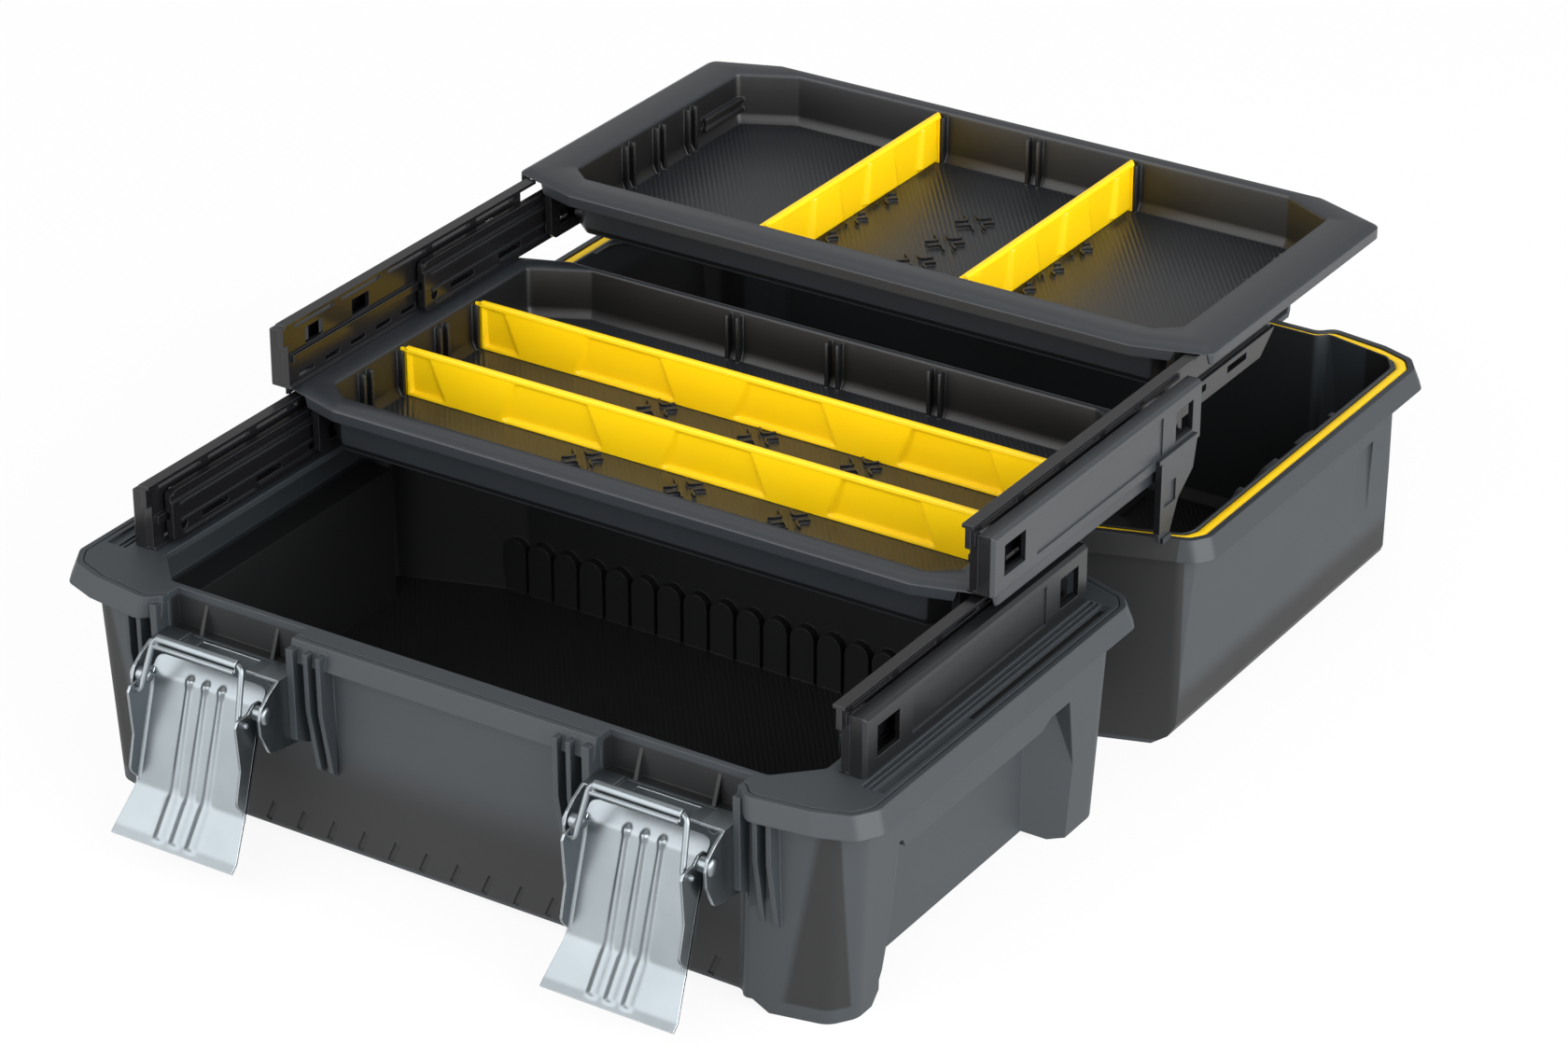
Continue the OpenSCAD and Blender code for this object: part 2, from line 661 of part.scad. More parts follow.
// pressed lever: flat plate, band kicked back over the pivot, flared foot and lip
module lever(side) {
  w = 32.3;                     // half width over the flanges
  t = 1.2;
  crease = [4.4, 0.9];
  bend = [-12, -52.6];
  lean = atan2(crease.x - bend.x, crease.y - bend.y);
  plate_l = norm(crease - bend);
  foot_l = 21;
  color(zinc) at_latch(side) translate([0, pivot.x, pivot.y]) difference() {
    union() {
      translate([0, crease.x, crease.y]) rotate([90 - lean, 0, 0]) linear_extrude(t)
        polygon([[-w, 0.4], [w, 0.4], [w, -plate_l - 0.3], [-w, -plate_l - 0.3]]);
      translate([0, crease.x, crease.y]) rotate([90 - 42, 0, 0]) linear_extrude(t)
        polygon(soft([[-w, -0.6], [w, -0.6], [w, 9], [-w, 9]], 4));
      translate([0, bend.x, bend.y]) rotate([90 - 36, 0, 0]) linear_extrude(t)
        polygon([[-w, 0.4], [w, 0.4], [36, -foot_l], [-36, -foot_l]]);
      rod(0.1 - w, w - 0.1, crease.x + 0.35, crease.y + 0.3, 0.85);
      // lip turned up along the foot
      translate([0, bend.x - foot_l * sin(36), bend.y - foot_l * cos(36)]) {
        along_x([[1, -0.4], [0.2, -1.4], [-6.6, 1.4], [-6, 3], [0.6, 0.6]], -36, 36);
        rod(-36, 36, -6.3, 2.4, 1.2);
      }
      // side flanges, folded forward, widest at the bail holes
      for (x = [-w, w - t]) along_x(soft([
        [5.6, 1.2], [3.4, 4.4], [-1.6, 4.6], [-6, 1.4], [-13.4, 1.2], [-15.4, -1.8],
        [-13.4, -25], [-17.4, -41], [-16.6, -43.6], [-11.4, -49.6], [-9.6, -48]], 1.2, 3), x, x + t);
      // three pressed beads, over the plate and on down the foot
      for (x = [-9.4, 0, 9.4]) {
        translate([x, crease.x - 2, crease.y - 2]) rotate([180 - lean, 0, 0])
          cylinder(r = 1.7, h = plate_l - 2, $fn = 20);
        translate([x, crease.x - 2, crease.y - 2]) sphere(r = 1.76, $fn = 20);
        translate([x, bend.x - 1.2, bend.y + 1]) rotate([180 - 36, 0, 0])
          cylinder(r = 1.9, h = foot_l - 1, $fn = 20);
      }
    }
    rod(-40, 40, 0, 0, 2.56);
    rod(-40, 40, bail_at.x - pivot.x, bail_at.y - pivot.y, wire_d / 2 + 0.06);
  }
}

module at_bail(side) {
  at_latch(side) translate([0, bail_at.x, bail_at.y]) rotate([-bail_lean, 0, 0]) children();
}

// wire bail: crossbar, two splayed arms and ends turned out through the flanges
module bail(side) {
  r = wire_d / 2;
  splay = atan2(3, bail_len);
  color(zinc) at_bail(side) {
    rod(-26, 26, 0, bail_len, r);
    both() {
      translate([29, 0, 0]) rotate([0, -splay, 0]) cylinder(r = r, h = bail_len / cos(splay), $fn = 32);
      translate([29, 0, 0]) sphere(r = r + 0.04, $fn = 32);
      translate([26, 0, bail_len]) sphere(r = r + 0.04, $fn = 32);
      rod(29, 34.2, 0, 0, r);
    }
  }
}

// folded strip round the crossbar, its edge turned down to grip the lid's catch
module hook(side) {
  color(zinc) at_bail(side) difference() {
    union() {
      rod(-23.6, 23.6, 0, bail_len, 2.6);
      along_x([[-2.6, bail_len + 0.4], [-1, bail_len - 2.3], [-2.6, bail_len - 4],
               [-4, bail_len - 3]], -23.6, 23.6);
      rod(-23.6, 23.6, -3.3, bail_len - 3.5, 0.86);
    }
    rod(-24, 24, 0, bail_len, wire_d / 2 + 0.02);
  }
}

// the origin lies on the floor, under the middle of the open box
module centred() {
  translate([0, -open_middle, 0]) children();
}

// ---- one line for each piece ------------------------------------------------------

centred() base_tub();
centred() base_hinge_barrels();
centred() hinge_pins();
centred() rail_cover(-1, base_rail_y, low_z);  // base_cover_left
centred() rail_cover(1, base_rail_y, low_z);  // base_cover_right
centred() rail_track(-1, base_rail_y, low_z);  // base_track_left
centred() rail_track(1, base_rail_y, low_z);  // base_track_right
centred() slide_bar(-1, base_rail_y + low_bar_out, low_z);  // lower_bar_left
centred() slide_bar(1, base_rail_y + low_bar_out, low_z);  // lower_bar_right
centred() middle_tray();
centred() runner(-1, mid_rail_y, low_z, mid_z - 2.4);  // middle_runner_left
centred() runner(1, mid_rail_y, low_z, mid_z - 2.4);  // middle_runner_right
centred() rail_cover(-1, mid_rail_y, mid_z);  // middle_cover_left
centred() rail_cover(1, mid_rail_y, mid_z);  // middle_cover_right
centred() rail_track(-1, mid_rail_y, mid_z);  // middle_track_left
centred() rail_track(1, mid_rail_y, mid_z);  // middle_track_right
centred() rail_leg(-1);  // rail_leg_left
centred() rail_leg(1);  // rail_leg_right
centred() slide_bar(-1, mid_rail_y + high_bar_out, mid_z);  // upper_bar_left
centred() slide_bar(1, mid_rail_y + high_bar_out, mid_z);  // upper_bar_right
centred() top_tray();
centred() runner(-1, top_front + 2, mid_z, top_z - 2.4);  // top_runner_left
centred() runner(1, top_front + 2, mid_z, top_z - 2.4);  // top_runner_right
centred() middle_divider(76);  // middle_divider_front
centred() middle_divider(140);  // middle_divider_rear
centred() top_divider(-59);  // top_divider_left
centred() top_divider(59);  // top_divider_right
centred() lid_shell();
centred() lid_seal();
centred() lid_hinge_barrels();
centred() carry_handle();
centred() handle_pins();
centred() bracket(-1);  // bracket_left
centred() bracket(1);  // bracket_right
centred() lever(-1);  // lever_left
centred() lever(1);  // lever_right
centred() lever_rivets(-1);  // lever_rivets_left
centred() lever_rivets(1);  // lever_rivets_right
centred() bail(-1);  // bail_left
centred() bail(1);  // bail_right
centred() hook(-1);  // hook_left
centred() hook(1);  // hook_right
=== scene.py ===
# %% [markdown]
# # A cantilever tool box, open
#
# A deep tub, a lid lying open behind it and two trays that ride back on telescopic rails.
# The construction arrives as a fixed frame of named parts, already at real size.  This
# lesson gives those parts their finishes and makes the few pieces whose beauty lies in soft
# bends: the pressed latch levers, the bent wire, the dividers, the trays and the seal.

import math
from collections import namedtuple

import bmesh
import bpy
import numpy as np
from mathutils import Matrix, Vector


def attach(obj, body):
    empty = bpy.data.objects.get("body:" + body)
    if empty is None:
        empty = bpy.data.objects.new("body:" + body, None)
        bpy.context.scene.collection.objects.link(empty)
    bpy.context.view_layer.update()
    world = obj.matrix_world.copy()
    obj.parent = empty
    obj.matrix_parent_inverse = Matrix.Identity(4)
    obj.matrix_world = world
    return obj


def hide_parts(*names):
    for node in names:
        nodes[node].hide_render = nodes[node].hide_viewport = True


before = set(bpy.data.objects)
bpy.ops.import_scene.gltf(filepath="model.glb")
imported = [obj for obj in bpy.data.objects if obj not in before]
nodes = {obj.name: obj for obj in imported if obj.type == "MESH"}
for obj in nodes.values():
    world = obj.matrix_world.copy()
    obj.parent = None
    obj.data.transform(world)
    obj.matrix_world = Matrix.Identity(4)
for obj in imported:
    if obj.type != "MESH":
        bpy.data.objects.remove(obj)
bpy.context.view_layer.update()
OPEN_MIDDLE = 0.12828   # from the middle of the tub back to the middle of the open box
MM = 0.001              # one millimetre in metres
print("parts in the frame:", len(nodes))

# %% [markdown]
# ## Shader maths as plain expressions
#
# A procedural finish is arithmetic on fields: noise times a mask plus a constant.  Wiring
# that arithmetic by hand hides the formula, so a small class wraps a socket and lets the
# usual operators add the Math nodes.  Everything else goes through one method, so that the
# settings and the inputs of any node read the same way.

# %% A socket that can be added and multiplied
class Field:
    """A number that varies over a surface: the output socket of a shader node."""

    def __init__(self, finish, socket):
        self.finish = finish
        self.socket = socket

    def maths(self, operation, *others):
        """The Math node of that operation, applied to this field and the others."""
        inputs = dict(enumerate((self, *others)))
        return self.finish.node("ShaderNodeMath", {"operation": operation}, inputs)

    def __add__(self, other):
        return self.maths("ADD", other)

    __radd__ = __add__

    def __mul__(self, other):
        return self.maths("MULTIPLY", other)

    __rmul__ = __mul__

    def __sub__(self, other):
        return self.maths("SUBTRACT", other)

    def __rsub__(self, other):
        return self.maths("MULTIPLY", -1.0).maths("ADD", other)

    def __gt__(self, other):
        return self.maths("GREATER_THAN", other)

    def __lt__(self, other):
        return self.maths("LESS_THAN", other)

    def step(self, low, high):
        """0 below low, 1 above high, and the ramp 3 t^2 - 2 t^3 between them."""
        return self.finish.node("ShaderNodeMapRange", {"interpolation_type": "SMOOTHSTEP"}, {
            "Value": self, "From Min": low, "From Max": high, "To Min": 0.0, "To Max": 1.0})


class Finish:
    """A material under construction: one Principled shader, and the nodes that feed it."""

    def __init__(self, name):
        self.material = bpy.data.materials.new(name)
        self.material.use_nodes = True
        self.tree = self.material.node_tree
        self.shader = self.tree.nodes["Principled BSDF"]
        self.vectors = {}

    def node(self, kind, settings=None, inputs=None, output=0):
        """Adds a node: first its settings, then values or links for its inputs."""
        made = self.tree.nodes.new(kind)
        for key, value in (settings or {}).items():
            setattr(made, key, value)
        for key, value in (inputs or {}).items():
            self.feed(made.inputs[key], value)
        return Field(self, made.outputs[output])

    def feed(self, socket, value):
        """Links a field to a socket, or sets a plain value on it."""
        if isinstance(value, Field):
            self.tree.links.new(value.socket, socket)
        else:
            socket.default_value = value

    def coords(self, which="Object"):
        """The object coordinates, or the object's own normal with which='Normal'."""
        if which not in self.vectors:
            self.vectors[which] = self.node("ShaderNodeTexCoord", output=which)
        return self.vectors[which]

    def axes(self, which="Object"):
        """The three parts of a coordinate vector, each as a field."""
        split = self.tree.nodes.new("ShaderNodeSeparateXYZ")
        self.feed(split.inputs[0], self.coords(which))
        return [Field(self, split.outputs[i]) for i in range(3)]

    def noise(self, size, detail=3.0, rough=0.5, stretch=(1.0, 1.0, 1.0),
              turn=(0.0, 0.0, 0.0)):
        """Smooth noise from 0 to 1, whose blobs are about size metres across."""
        place = self.node("ShaderNodeMapping", None, {
            "Vector": self.coords(), "Scale": tuple(1.0 / s for s in stretch), "Rotation": turn})
        return self.node("ShaderNodeTexNoise", None, {
            "Vector": place, "Scale": 1.0 / size, "Detail": detail, "Roughness": rough})

    def mix(self, amount, low, high):
        """A colour between low and high; the numbers are the Mix node's colour sockets."""
        return self.node("ShaderNodeMix", {"data_type": "RGBA"},
                         {0: amount, 6: low, 7: high}, output=2)

    def put(self, **sockets):
        """Feeds the Principled shader's sockets, named with _ for a space."""
        for name, value in sockets.items():
            self.feed(self.shader.inputs[name.replace("_", " ")], value)


def rgba(r, g, b):
    """A written sRGB colour, 0 to 255, as the linear colour that a shader wants: c / 12.92
    for a dark c, and ((c + 0.055) / 1.055) ^ 2.4 above."""
    srgb = np.array([r, g, b]) / 255.0
    linear = np.where(srgb <= 0.04045, srgb / 12.92, ((srgb + 0.055) / 1.055) ** 2.4)
    return (*linear.tolist(), 1.0)


print("shader maths ready")

# %% [markdown]
# ## Rounded edges without new faces
#
# A moulded edge is never sharp: its small radius catches a thin line of light.  The frame's
# parts have true sharp edges, and their meshes stay as they are, so the radius is made in
# the shader.  A Bevel node gives the normal that a rounded edge would have, and where that
# normal leaves the flat one, the edge is: a mask for wear, and for a painted highlight along
# the edges, comes with it for free.

# %% Soft edges and the mask that they give
def soft_edge(finish, radius):
    """(rounded normal, mask): the mask is 1 - (rounded normal . flat normal), scaled up."""
    rounded = finish.node("ShaderNodeBevel", {"samples": 4}, {"Radius": radius})
    flat = finish.node("ShaderNodeNewGeometry", output="Normal")
    facing = finish.node("ShaderNodeVectorMath", {"operation": "DOT_PRODUCT"},
                         {0: rounded, 1: flat}, output="Value")
    return rounded, (1.0 - facing).step(0.02, 0.22)


def bumps(finish, height, depth, normal):
    """A Bump node: height from 0 to 1 stands for depth metres."""
    return finish.node("ShaderNodeBump", None, {
        "Height": height, "Distance": depth, "Strength": 1.0, "Normal": normal})


# %% [markdown]
# ## Moulded plastic
#
# The tub and the lid are polypropylene from a textured mould: a fine grain that breaks up
# the highlight, a slow cloudiness where the melt cooled unevenly, faint scuffs on what
# sticks out, and edges painted a little lighter, partly wear and partly a painted highlight.
# The trays are the same plastic from a smoother mould.  One function makes them all, from
# the size of the grain and two tones.
# What lies deep in a hollow gets little light, so a mask paints shade into the hollows.

# %% A moulded plastic
# Edges are painted paler, partly as wear and partly as a painted highlight; scuffs are wear.
SLATE_WEAR_AND_HIGHLIGHT = rgba(80, 86, 91)
EDGE_WEAR_AND_HIGHLIGHT, SCUFF_WEAR = 0.45, 0.12     # how far edges and scuffs go to the edge's tone
# How far painted shade takes the hollows, and the faces towards the latches, to the dark tone.
HOLLOW_SHADE, FRONT_FACE_SHADE = 0.9, 0.85      # how far hollows and polished ends go to the dark one
RIB_HEIGHT = 3.0                       # the knurl's, where the grain's is 1


def moulded(name, tone, wear_and_highlight_tone=SLATE_WEAR_AND_HIGHLIGHT, grain=0.0006, depth=0.00006,
            rough=(0.42, 0.6), radius=0.0009, painted_hollow_shade=None, dark=rgba(14, 14, 15),
            knurl=None, ends=False):
    """Moulded plastic.  Colour = tone, clouded by noise and lifted at edges (wear and a painted
    highlight) and at scuffs; a mask of hollows paints shade there, towards dark, and knurl
    gives (ribs, where they lie).  With ends, the faces towards the latches are smoother and
    painted dark, a painted shade for the dark that their gloss mirrors."""
    f = Finish(name)
    normal, edge = soft_edge(f, radius)
    cloud = f.noise(0.09, 4.0)
    fine = f.noise(grain, 2.0, 0.6)
    scuffs = f.noise(0.05, 6.0, 0.7, stretch=(4.0, 0.5, 0.7), turn=(0.3, 0.2, 0.6))
    scuffs = scuffs.step(0.66, 0.80)
    deep = (*(c * 0.86 for c in tone[:3]), 1.0)
    colour = f.mix(cloud, deep, tone)
    # Edges and scuffs go paler: wear, and on the edges a painted highlight too.
    colour = f.mix(edge * EDGE_WEAR_AND_HIGHLIGHT + scuffs * SCUFF_WEAR, colour, wear_and_highlight_tone)
    height = fine
    roughness = cloud * (rough[1] - rough[0]) + rough[0] + scuffs * 0.06
    if painted_hollow_shade is not None:
        # Painted shade: the hollows go towards the dark tone.
        hollow = painted_hollow_shade(f)
        colour = f.mix(hollow * HOLLOW_SHADE, colour, dark)
        roughness = roughness + hollow * 0.04
    if ends:
        # Painted shade: faces towards the latches go dark, standing for the dark that their gloss
        # mirrors; they are smoother as well.
        facing = (f.axes("Normal")[1] * -1.0).step(0.8, 0.95)
        colour = f.mix(facing * FRONT_FACE_SHADE, colour, dark)
        roughness = roughness - facing * 0.14
    if knurl is not None:
        ribs, floor = knurl(f)
        height = fine * 0.5 + ribs * floor * RIB_HEIGHT
    f.put(Base_Color=colour, Roughness=roughness, Normal=bumps(f, height, depth, normal))
    return f.material


def between(value, low, high, blur):
    """1 where value lies between low and high, fading over blur at either end."""
    return value.step(low - blur, low) * (1.0 - value.step(high, high + blur))


def inside(axes, box, blurs):
    """1 inside a box, given as (low, high) for x, y and z: the product of its ranges."""
    x, y, z = (between(axis, *ends, blur) for axis, ends, blur in zip(axes, box, blurs))
    return x * y * z


KNURL_PITCH = 0.0026


def diagonal_knurl(low, high):
    """Fine diagonal ribs on level ground between two heights: 0.5 + 0.5 sin(2 pi d / pitch),
    where d is the distance along (0.8, 0.6)."""
    def pattern(f):
        x, y, z = f.axes()
        level = f.axes("Normal")[2].maths("ABSOLUTE") > 0.9
        wave = ((x * 0.8 + y * 0.6) * (2.0 * math.pi / KNURL_PITCH)).maths("SINE") * 0.5 + 0.5
        return wave, between(z, low, high, 0.0005) * level
    return pattern


def tub_axes(f):
    """Object coordinates measured from the middle of the tub."""
    x, y, z = f.axes()
    return x, y + OPEN_MIDDLE, z


# The hollows of the frame's shells, as (low, high) in metres for x, y and z from the middle
# of the tub, and the heights between which a floor is knurled.
TUB_HOLLOW = ((-0.2085, 0.2085), (-0.1262, 0.1312), (0.0083, 0.1125))
TUB_KNURL = (0.0083, 0.0093)
LID_HOLLOW = ((-0.2135, 0.2135), (0.1605, 0.4175), (0.0027, 0.1165))
LID_KNURL = (0.0015, 0.004)
TRAY_HOLLOW_Z, TRAY_KNURL = (-0.0008, 0.0262), (-0.0014, 0.0011)   # from the tray's floor
PANEL_X, PANEL_Y, PANEL_TOP = 0.1933, (-0.1015, 0.0845), 0.0815    # sunk into the tub's side
GROOVE_X, GROOVE_Y, GROOVE_FLOOR = (0.2148, 0.2186), (-0.024, 0.097), 0.1
WELL_X, WELL_Y, WELL_TOP = 0.0924, (0.3076, 0.3544), 0.0134        # the handle's well


def tub_hollow(f):
    """Where shade is painted: 1 inside the tub's hollow, without the panels that are sunk into
    its sides, and along the narrow grooves in the decks beside the rails."""
    x, y, z = tub_axes(f)
    hollow = inside((x, y, z), TUB_HOLLOW, (0.001, 0.001, 0.0015))
    side = x.maths("ABSOLUTE")
    panel = (side > PANEL_X) * (z < PANEL_TOP) * (y > PANEL_Y[0]) * (y < PANEL_Y[1])
    groove = between(side, *GROOVE_X, 0.0004) * between(y, *GROOVE_Y, 0.0004) * (z > GROOVE_FLOOR)
    return (hollow * (1.0 - panel)).maths("MAXIMUM", groove)


def lid_hollow(f):
    """Where shade is painted: 1 inside the open lid's hollow, without the handle's well."""
    x, y, z = tub_axes(f)
    hollow = inside((x, y, z), LID_HOLLOW, (0.0006, 0.0006, 0.0008))
    well = (x.maths("ABSOLUTE") < WELL_X) * (y > WELL_Y[0]) * (y < WELL_Y[1]) * (z < WELL_TOP)
    return hollow * (1.0 - well)


# Both trays, in millimetres: where the flange's front and top are, how far behind that front
# the bin's front and rear walls lie, and how far below that top the bin reaches.
Tray = namedtuple("Tray", "flange_y flange_z front rear deep")
MIDDLE = Tray(flange_y=6.0, flange_z=158.4, front=9.6, rear=202.5, deep=29.4)
TOP = Tray(flange_y=209.0, flange_z=198.0, front=16.6, rear=199.0, deep=31.0)
TRAY_WALL = 2.4
BIN_HALF = 181.6                   # from the middle to the outside of a bin's side wall
WALL_IN = BIN_HALF - TRAY_WALL


def tray_floor(tray):
    """Height of a bin's floor above the ground, in metres."""
    return (tray.flange_z - tray.deep + TRAY_WALL) * MM


def tray_hollow(tray):
    """Painted shade: 1 on the walls of a tray's bin and 0.3 on its floor, left paler as a painted
    sheen.
    """
    def pattern(f):
        x, y, z = tub_axes(f)
        # Level floors take only 0.3 of the painted shade, left paler as a painted sheen.
        level = 1.0 - f.axes("Normal")[2].step(0.8, 0.98) * 0.7
        half = (BIN_HALF - 1.2) * MM
        box = ((-half, half), ((tray.front + 1.0) * MM, (tray.rear - 1.2) * MM), TRAY_HOLLOW_Z)
        place = (x, y - tray.flange_y * MM, z - tray_floor(tray))
        return level * inside(place, box, (0.0004, 0.0004, 0.0006))
    return pattern


def tray_plastic(name, tray):
    """The smoother plastic of a tray, with painted shade on the bin's walls and ribs on its
    floor.
    """
    ribs = diagonal_knurl(*(tray_floor(tray) + z for z in TRAY_KNURL))
    return moulded(name, TRAY_TONE, TRAY_WEAR_AND_HIGHLIGHT, rough=(0.28, 0.4), painted_hollow_shade=tray_hollow(tray),
                   dark=TRAY_HOLLOW_SHADE, knurl=ribs)


SLATE = rgba(44, 49, 53)
TRAY_TONE = rgba(41, 44, 48)
TRAY_WEAR_AND_HIGHLIGHT = rgba(72, 77, 82)
# The dark tone of the painted shade in a tray's bin.
TRAY_HOLLOW_SHADE = rgba(8, 8, 9)
GLOSS_BLACK = rgba(22, 22, 24)
SATIN_GREY = rgba(46, 49, 52)
SHADED_GREY = rgba(21, 23, 25)
HANDLE_GREY = rgba(40, 40, 43)

finishes = {
    "tub": moulded("tub plastic", SLATE, painted_hollow_shade=tub_hollow,
                   knurl=diagonal_knurl(*TUB_KNURL)),
    "lid": moulded("lid plastic", SLATE, painted_hollow_shade=lid_hollow,
                   knurl=diagonal_knurl(*LID_KNURL)),
    "middle_tray": tray_plastic("middle tray plastic", MIDDLE),
    "top_tray": tray_plastic("top tray plastic", TOP),
    "gloss": moulded("gloss rail plastic", GLOSS_BLACK, grain=0.004, depth=0.00003,
                     rough=(0.16, 0.28), radius=0.0006),
    "satin": moulded("satin rail plastic", SATIN_GREY, rough=(0.32, 0.46), radius=0.0006,
                     ends=True),
    "shaded": moulded("shaded rail plastic", SHADED_GREY, rough=(0.3, 0.42), radius=0.0006,
                      ends=True),
    "handle": moulded("handle plastic", HANDLE_GREY, rough=(0.4, 0.55)),
}
print("plastics:", sorted(finishes))

# %% [markdown]
# ## Yellow plastic
#
# The dividers and the seal carry the colour of the box.  Pigmented polypropylene lets a
# little light in, which keeps its shaded side warm, so the shader gets a small, even
# subsurface share.

# %% The yellow of the dividers
def yellow_plastic(name, rough, subsurface):
    """Yellow pigment, a touch paler where the noise is high; a painted highlight on the
    edges; a soft sheen.
    """
    f = Finish(name)
    normal, edge = soft_edge(f, 0.0005)
    cloud = f.noise(0.05, 3.0)
    colour = f.mix(cloud, rgba(254, 203, 0), rgba(255, 214, 4))
    # Painted highlight: edges go towards a paler yellow.
    colour = f.mix(edge * 0.3, colour, rgba(255, 224, 70))
    fine = f.noise(0.0007, 2.0)
    f.put(Base_Color=colour, Roughness=cloud * 0.12 + rough,
          Normal=bumps(f, fine, 0.00003, normal), Subsurface_Weight=subsurface,
          Subsurface_Radius=(1.0, 0.55, 0.1), Subsurface_Scale=0.002)
    return f.material


finishes["yellow"] = yellow_plastic("yellow plastic", 0.3, 0.1)
finishes["seal"] = yellow_plastic("yellow rubber", 0.45, 0.05)

# %% [markdown]
# ## Bright zinc plate
#
# The latches are steel sheet, drawn in a press and plated.  Zinc is a cool, pale metal whose
# gloss is clouded by its crystals, with faint draw lines along the pull and small dull
# handling marks.  A painted highlight runs along the edges.

# %% Zinc plate
def zinc_plate(name):
    """Metal whose roughness = base + crystal clouds + draw lines."""
    f = Finish(name)
    normal, edge = soft_edge(f, 0.0006)
    cloud = f.noise(0.03, 3.0, 0.5)
    crystals = f.node("ShaderNodeTexVoronoi", {"feature": "SMOOTH_F1"}, {
        "Vector": f.coords(), "Scale": 1.0 / 0.003})
    lines = f.noise(0.0012, 2.0, 0.5, stretch=(0.4, 10.0, 10.0))
    marks = f.noise(0.01, 5.0, 0.7).step(0.66, 0.78)
    colour = f.mix(cloud, rgba(122, 129, 133), rgba(144, 151, 155))
    colour = f.mix(marks * 0.2, colour, rgba(112, 118, 122))
    # Painted highlight: edges go most of the way to a near-white.
    colour = f.mix(edge * 0.6, colour, rgba(238, 243, 246))
    roughness = cloud * 0.08 + crystals * 0.03 + lines * 0.04 + marks * 0.05 + 0.26
    f.put(Base_Color=colour, Metallic=1.0, Roughness=roughness,
          Normal=bumps(f, lines * 0.5 + cloud * 0.5, 0.00003, normal))
    return f.material


finishes["zinc"] = zinc_plate("zinc plate")

# %% [markdown]
# ## Which part wears which finish
#
# A part's name says what it is, so the finishes are handed out by name.

# %% Hand out the finishes
def wear(obj, finish):
    """Puts one finish in every material slot of an object."""
    if not obj.data.materials:
        obj.data.materials.append(finish)
    for i in range(len(obj.data.materials)):
        obj.data.materials[i] = finish


WEARS = [(("base_tub", "base_hinge"), "tub"), (("lid_shell", "lid_hinge"), "lid"),
         (("middle_tray",), "middle_tray"), (("top_tray",), "top_tray"),
         (("middle_divider", "top_divider"), "yellow"), (("lid_seal",), "seal"),
         (("bracket", "lever", "bail", "hook", "hinge_pins"), "zinc"),
         (("carry", "handle"), "handle"), (("base_cover",), "shaded"),
         (("middle_cover_right", "rail_leg"), "satin")]


def finish_of(name):
    """The finish that a part wears: that of the row with its name's start, or else gloss."""
    return next((finish for starts, finish in WEARS if name.startswith(starts)), "gloss")


for name, part in nodes.items():
    wear(part, finishes[finish_of(name)])
print("parts finished:", len(nodes))

# %% [markdown]
# ## Shapes from arrays
#
# The latches, dividers and trays are thin and soft-cornered, so each is a surface that can
# be written down: a grid of points whose place is a function of how far along and how far
# across it lies.  Rounded paths, closed skins between two grids and lofts through rings of
# points cover them all.  Lengths in these cells are in millimetres from the middle of the
# tub, as on a workshop drawing; they become metres, and move to the frame's own origin, when
# the mesh is made.

# %% Paths and grids
def rounded(corners, radius, steps=6):
    """Each inner corner b becomes the curve (1-s)^2 p + 2 s (1-s) b + s^2 q, where p and q
    lie radius * tan(turn / 2) before and after it, but at most 0.48 of a side."""
    c = np.asarray(corners, float)
    before, corner, after = c[:-2], c[1:-1], c[2:]
    u, v = corner - before, after - corner
    lu, lv = (np.linalg.norm(w, axis=1, keepdims=True) for w in (u, v))
    u, v = u / lu, v / lv
    turn = np.arccos(np.clip((u * v).sum(axis=1, keepdims=True), -1.0, 1.0))
    reach = np.asarray(radius, float).reshape(-1, 1) * np.tan(turn / 2.0)
    reach = np.minimum(reach, 0.48 * np.minimum(lu, lv))
    s = np.linspace(0.0, 1.0, steps + 1)[None, :, None]
    p, q, b = (w[:, None] for w in (corner - u * reach, corner + v * reach, corner))
    bends = (1 - s) ** 2 * p + 2 * s * (1 - s) * b + s ** 2 * q
    return np.vstack([c[:1], bends.reshape(-1, c.shape[1]), c[-1:]])


def rounded_loop(corners, radius, steps=4):
    """The same for a closed outline: the first two corners are met again at the end."""
    c = np.asarray(corners, float)
    return rounded(np.vstack([c[-1:], c, c[:1]]), radius, steps)[1:-1]


def lengths_to(path):
    """Length of a path from its start to each of its points."""
    return np.concatenate([[0.0], np.cumsum(np.linalg.norm(np.diff(path, axis=0), axis=1))])


def even(path, count):
    """The same path with count points at equal steps of its length."""
    along = lengths_to(path)
    places = np.linspace(0.0, along[-1], count)
    return np.stack([np.interp(places, along, path[:, i]) for i in range(path.shape[1])], axis=1)


def tangents(path):
    """Unit vectors along a path, from the differences between neighbouring points."""
    along = np.gradient(path, axis=0)
    return along / np.linalg.norm(along, axis=1, keepdims=True)


def normals(line):
    """Unit normals of a flat line: its tangents turned 90 degrees to the left."""
    along = tangents(line)
    return np.stack([-along[:, 1], along[:, 0]], axis=1)


def drawn_in(corners, d):
    """A closed outline moved inwards by d: b + (n1 + n2) d / (1 + n1 . n2)."""
    b = np.asarray(corners, float)
    u, v = b - np.roll(b, 1, axis=0), np.roll(b, -1, axis=0) - b
    u, v = (w / np.linalg.norm(w, axis=1, keepdims=True) for w in (u, v))
    n1, n2 = (np.stack([-w[:, 1], w[:, 0]], axis=1) for w in (u, v))
    return b + (n1 + n2) * d / (1.0 + (n1 * n2).sum(axis=1, keepdims=True))


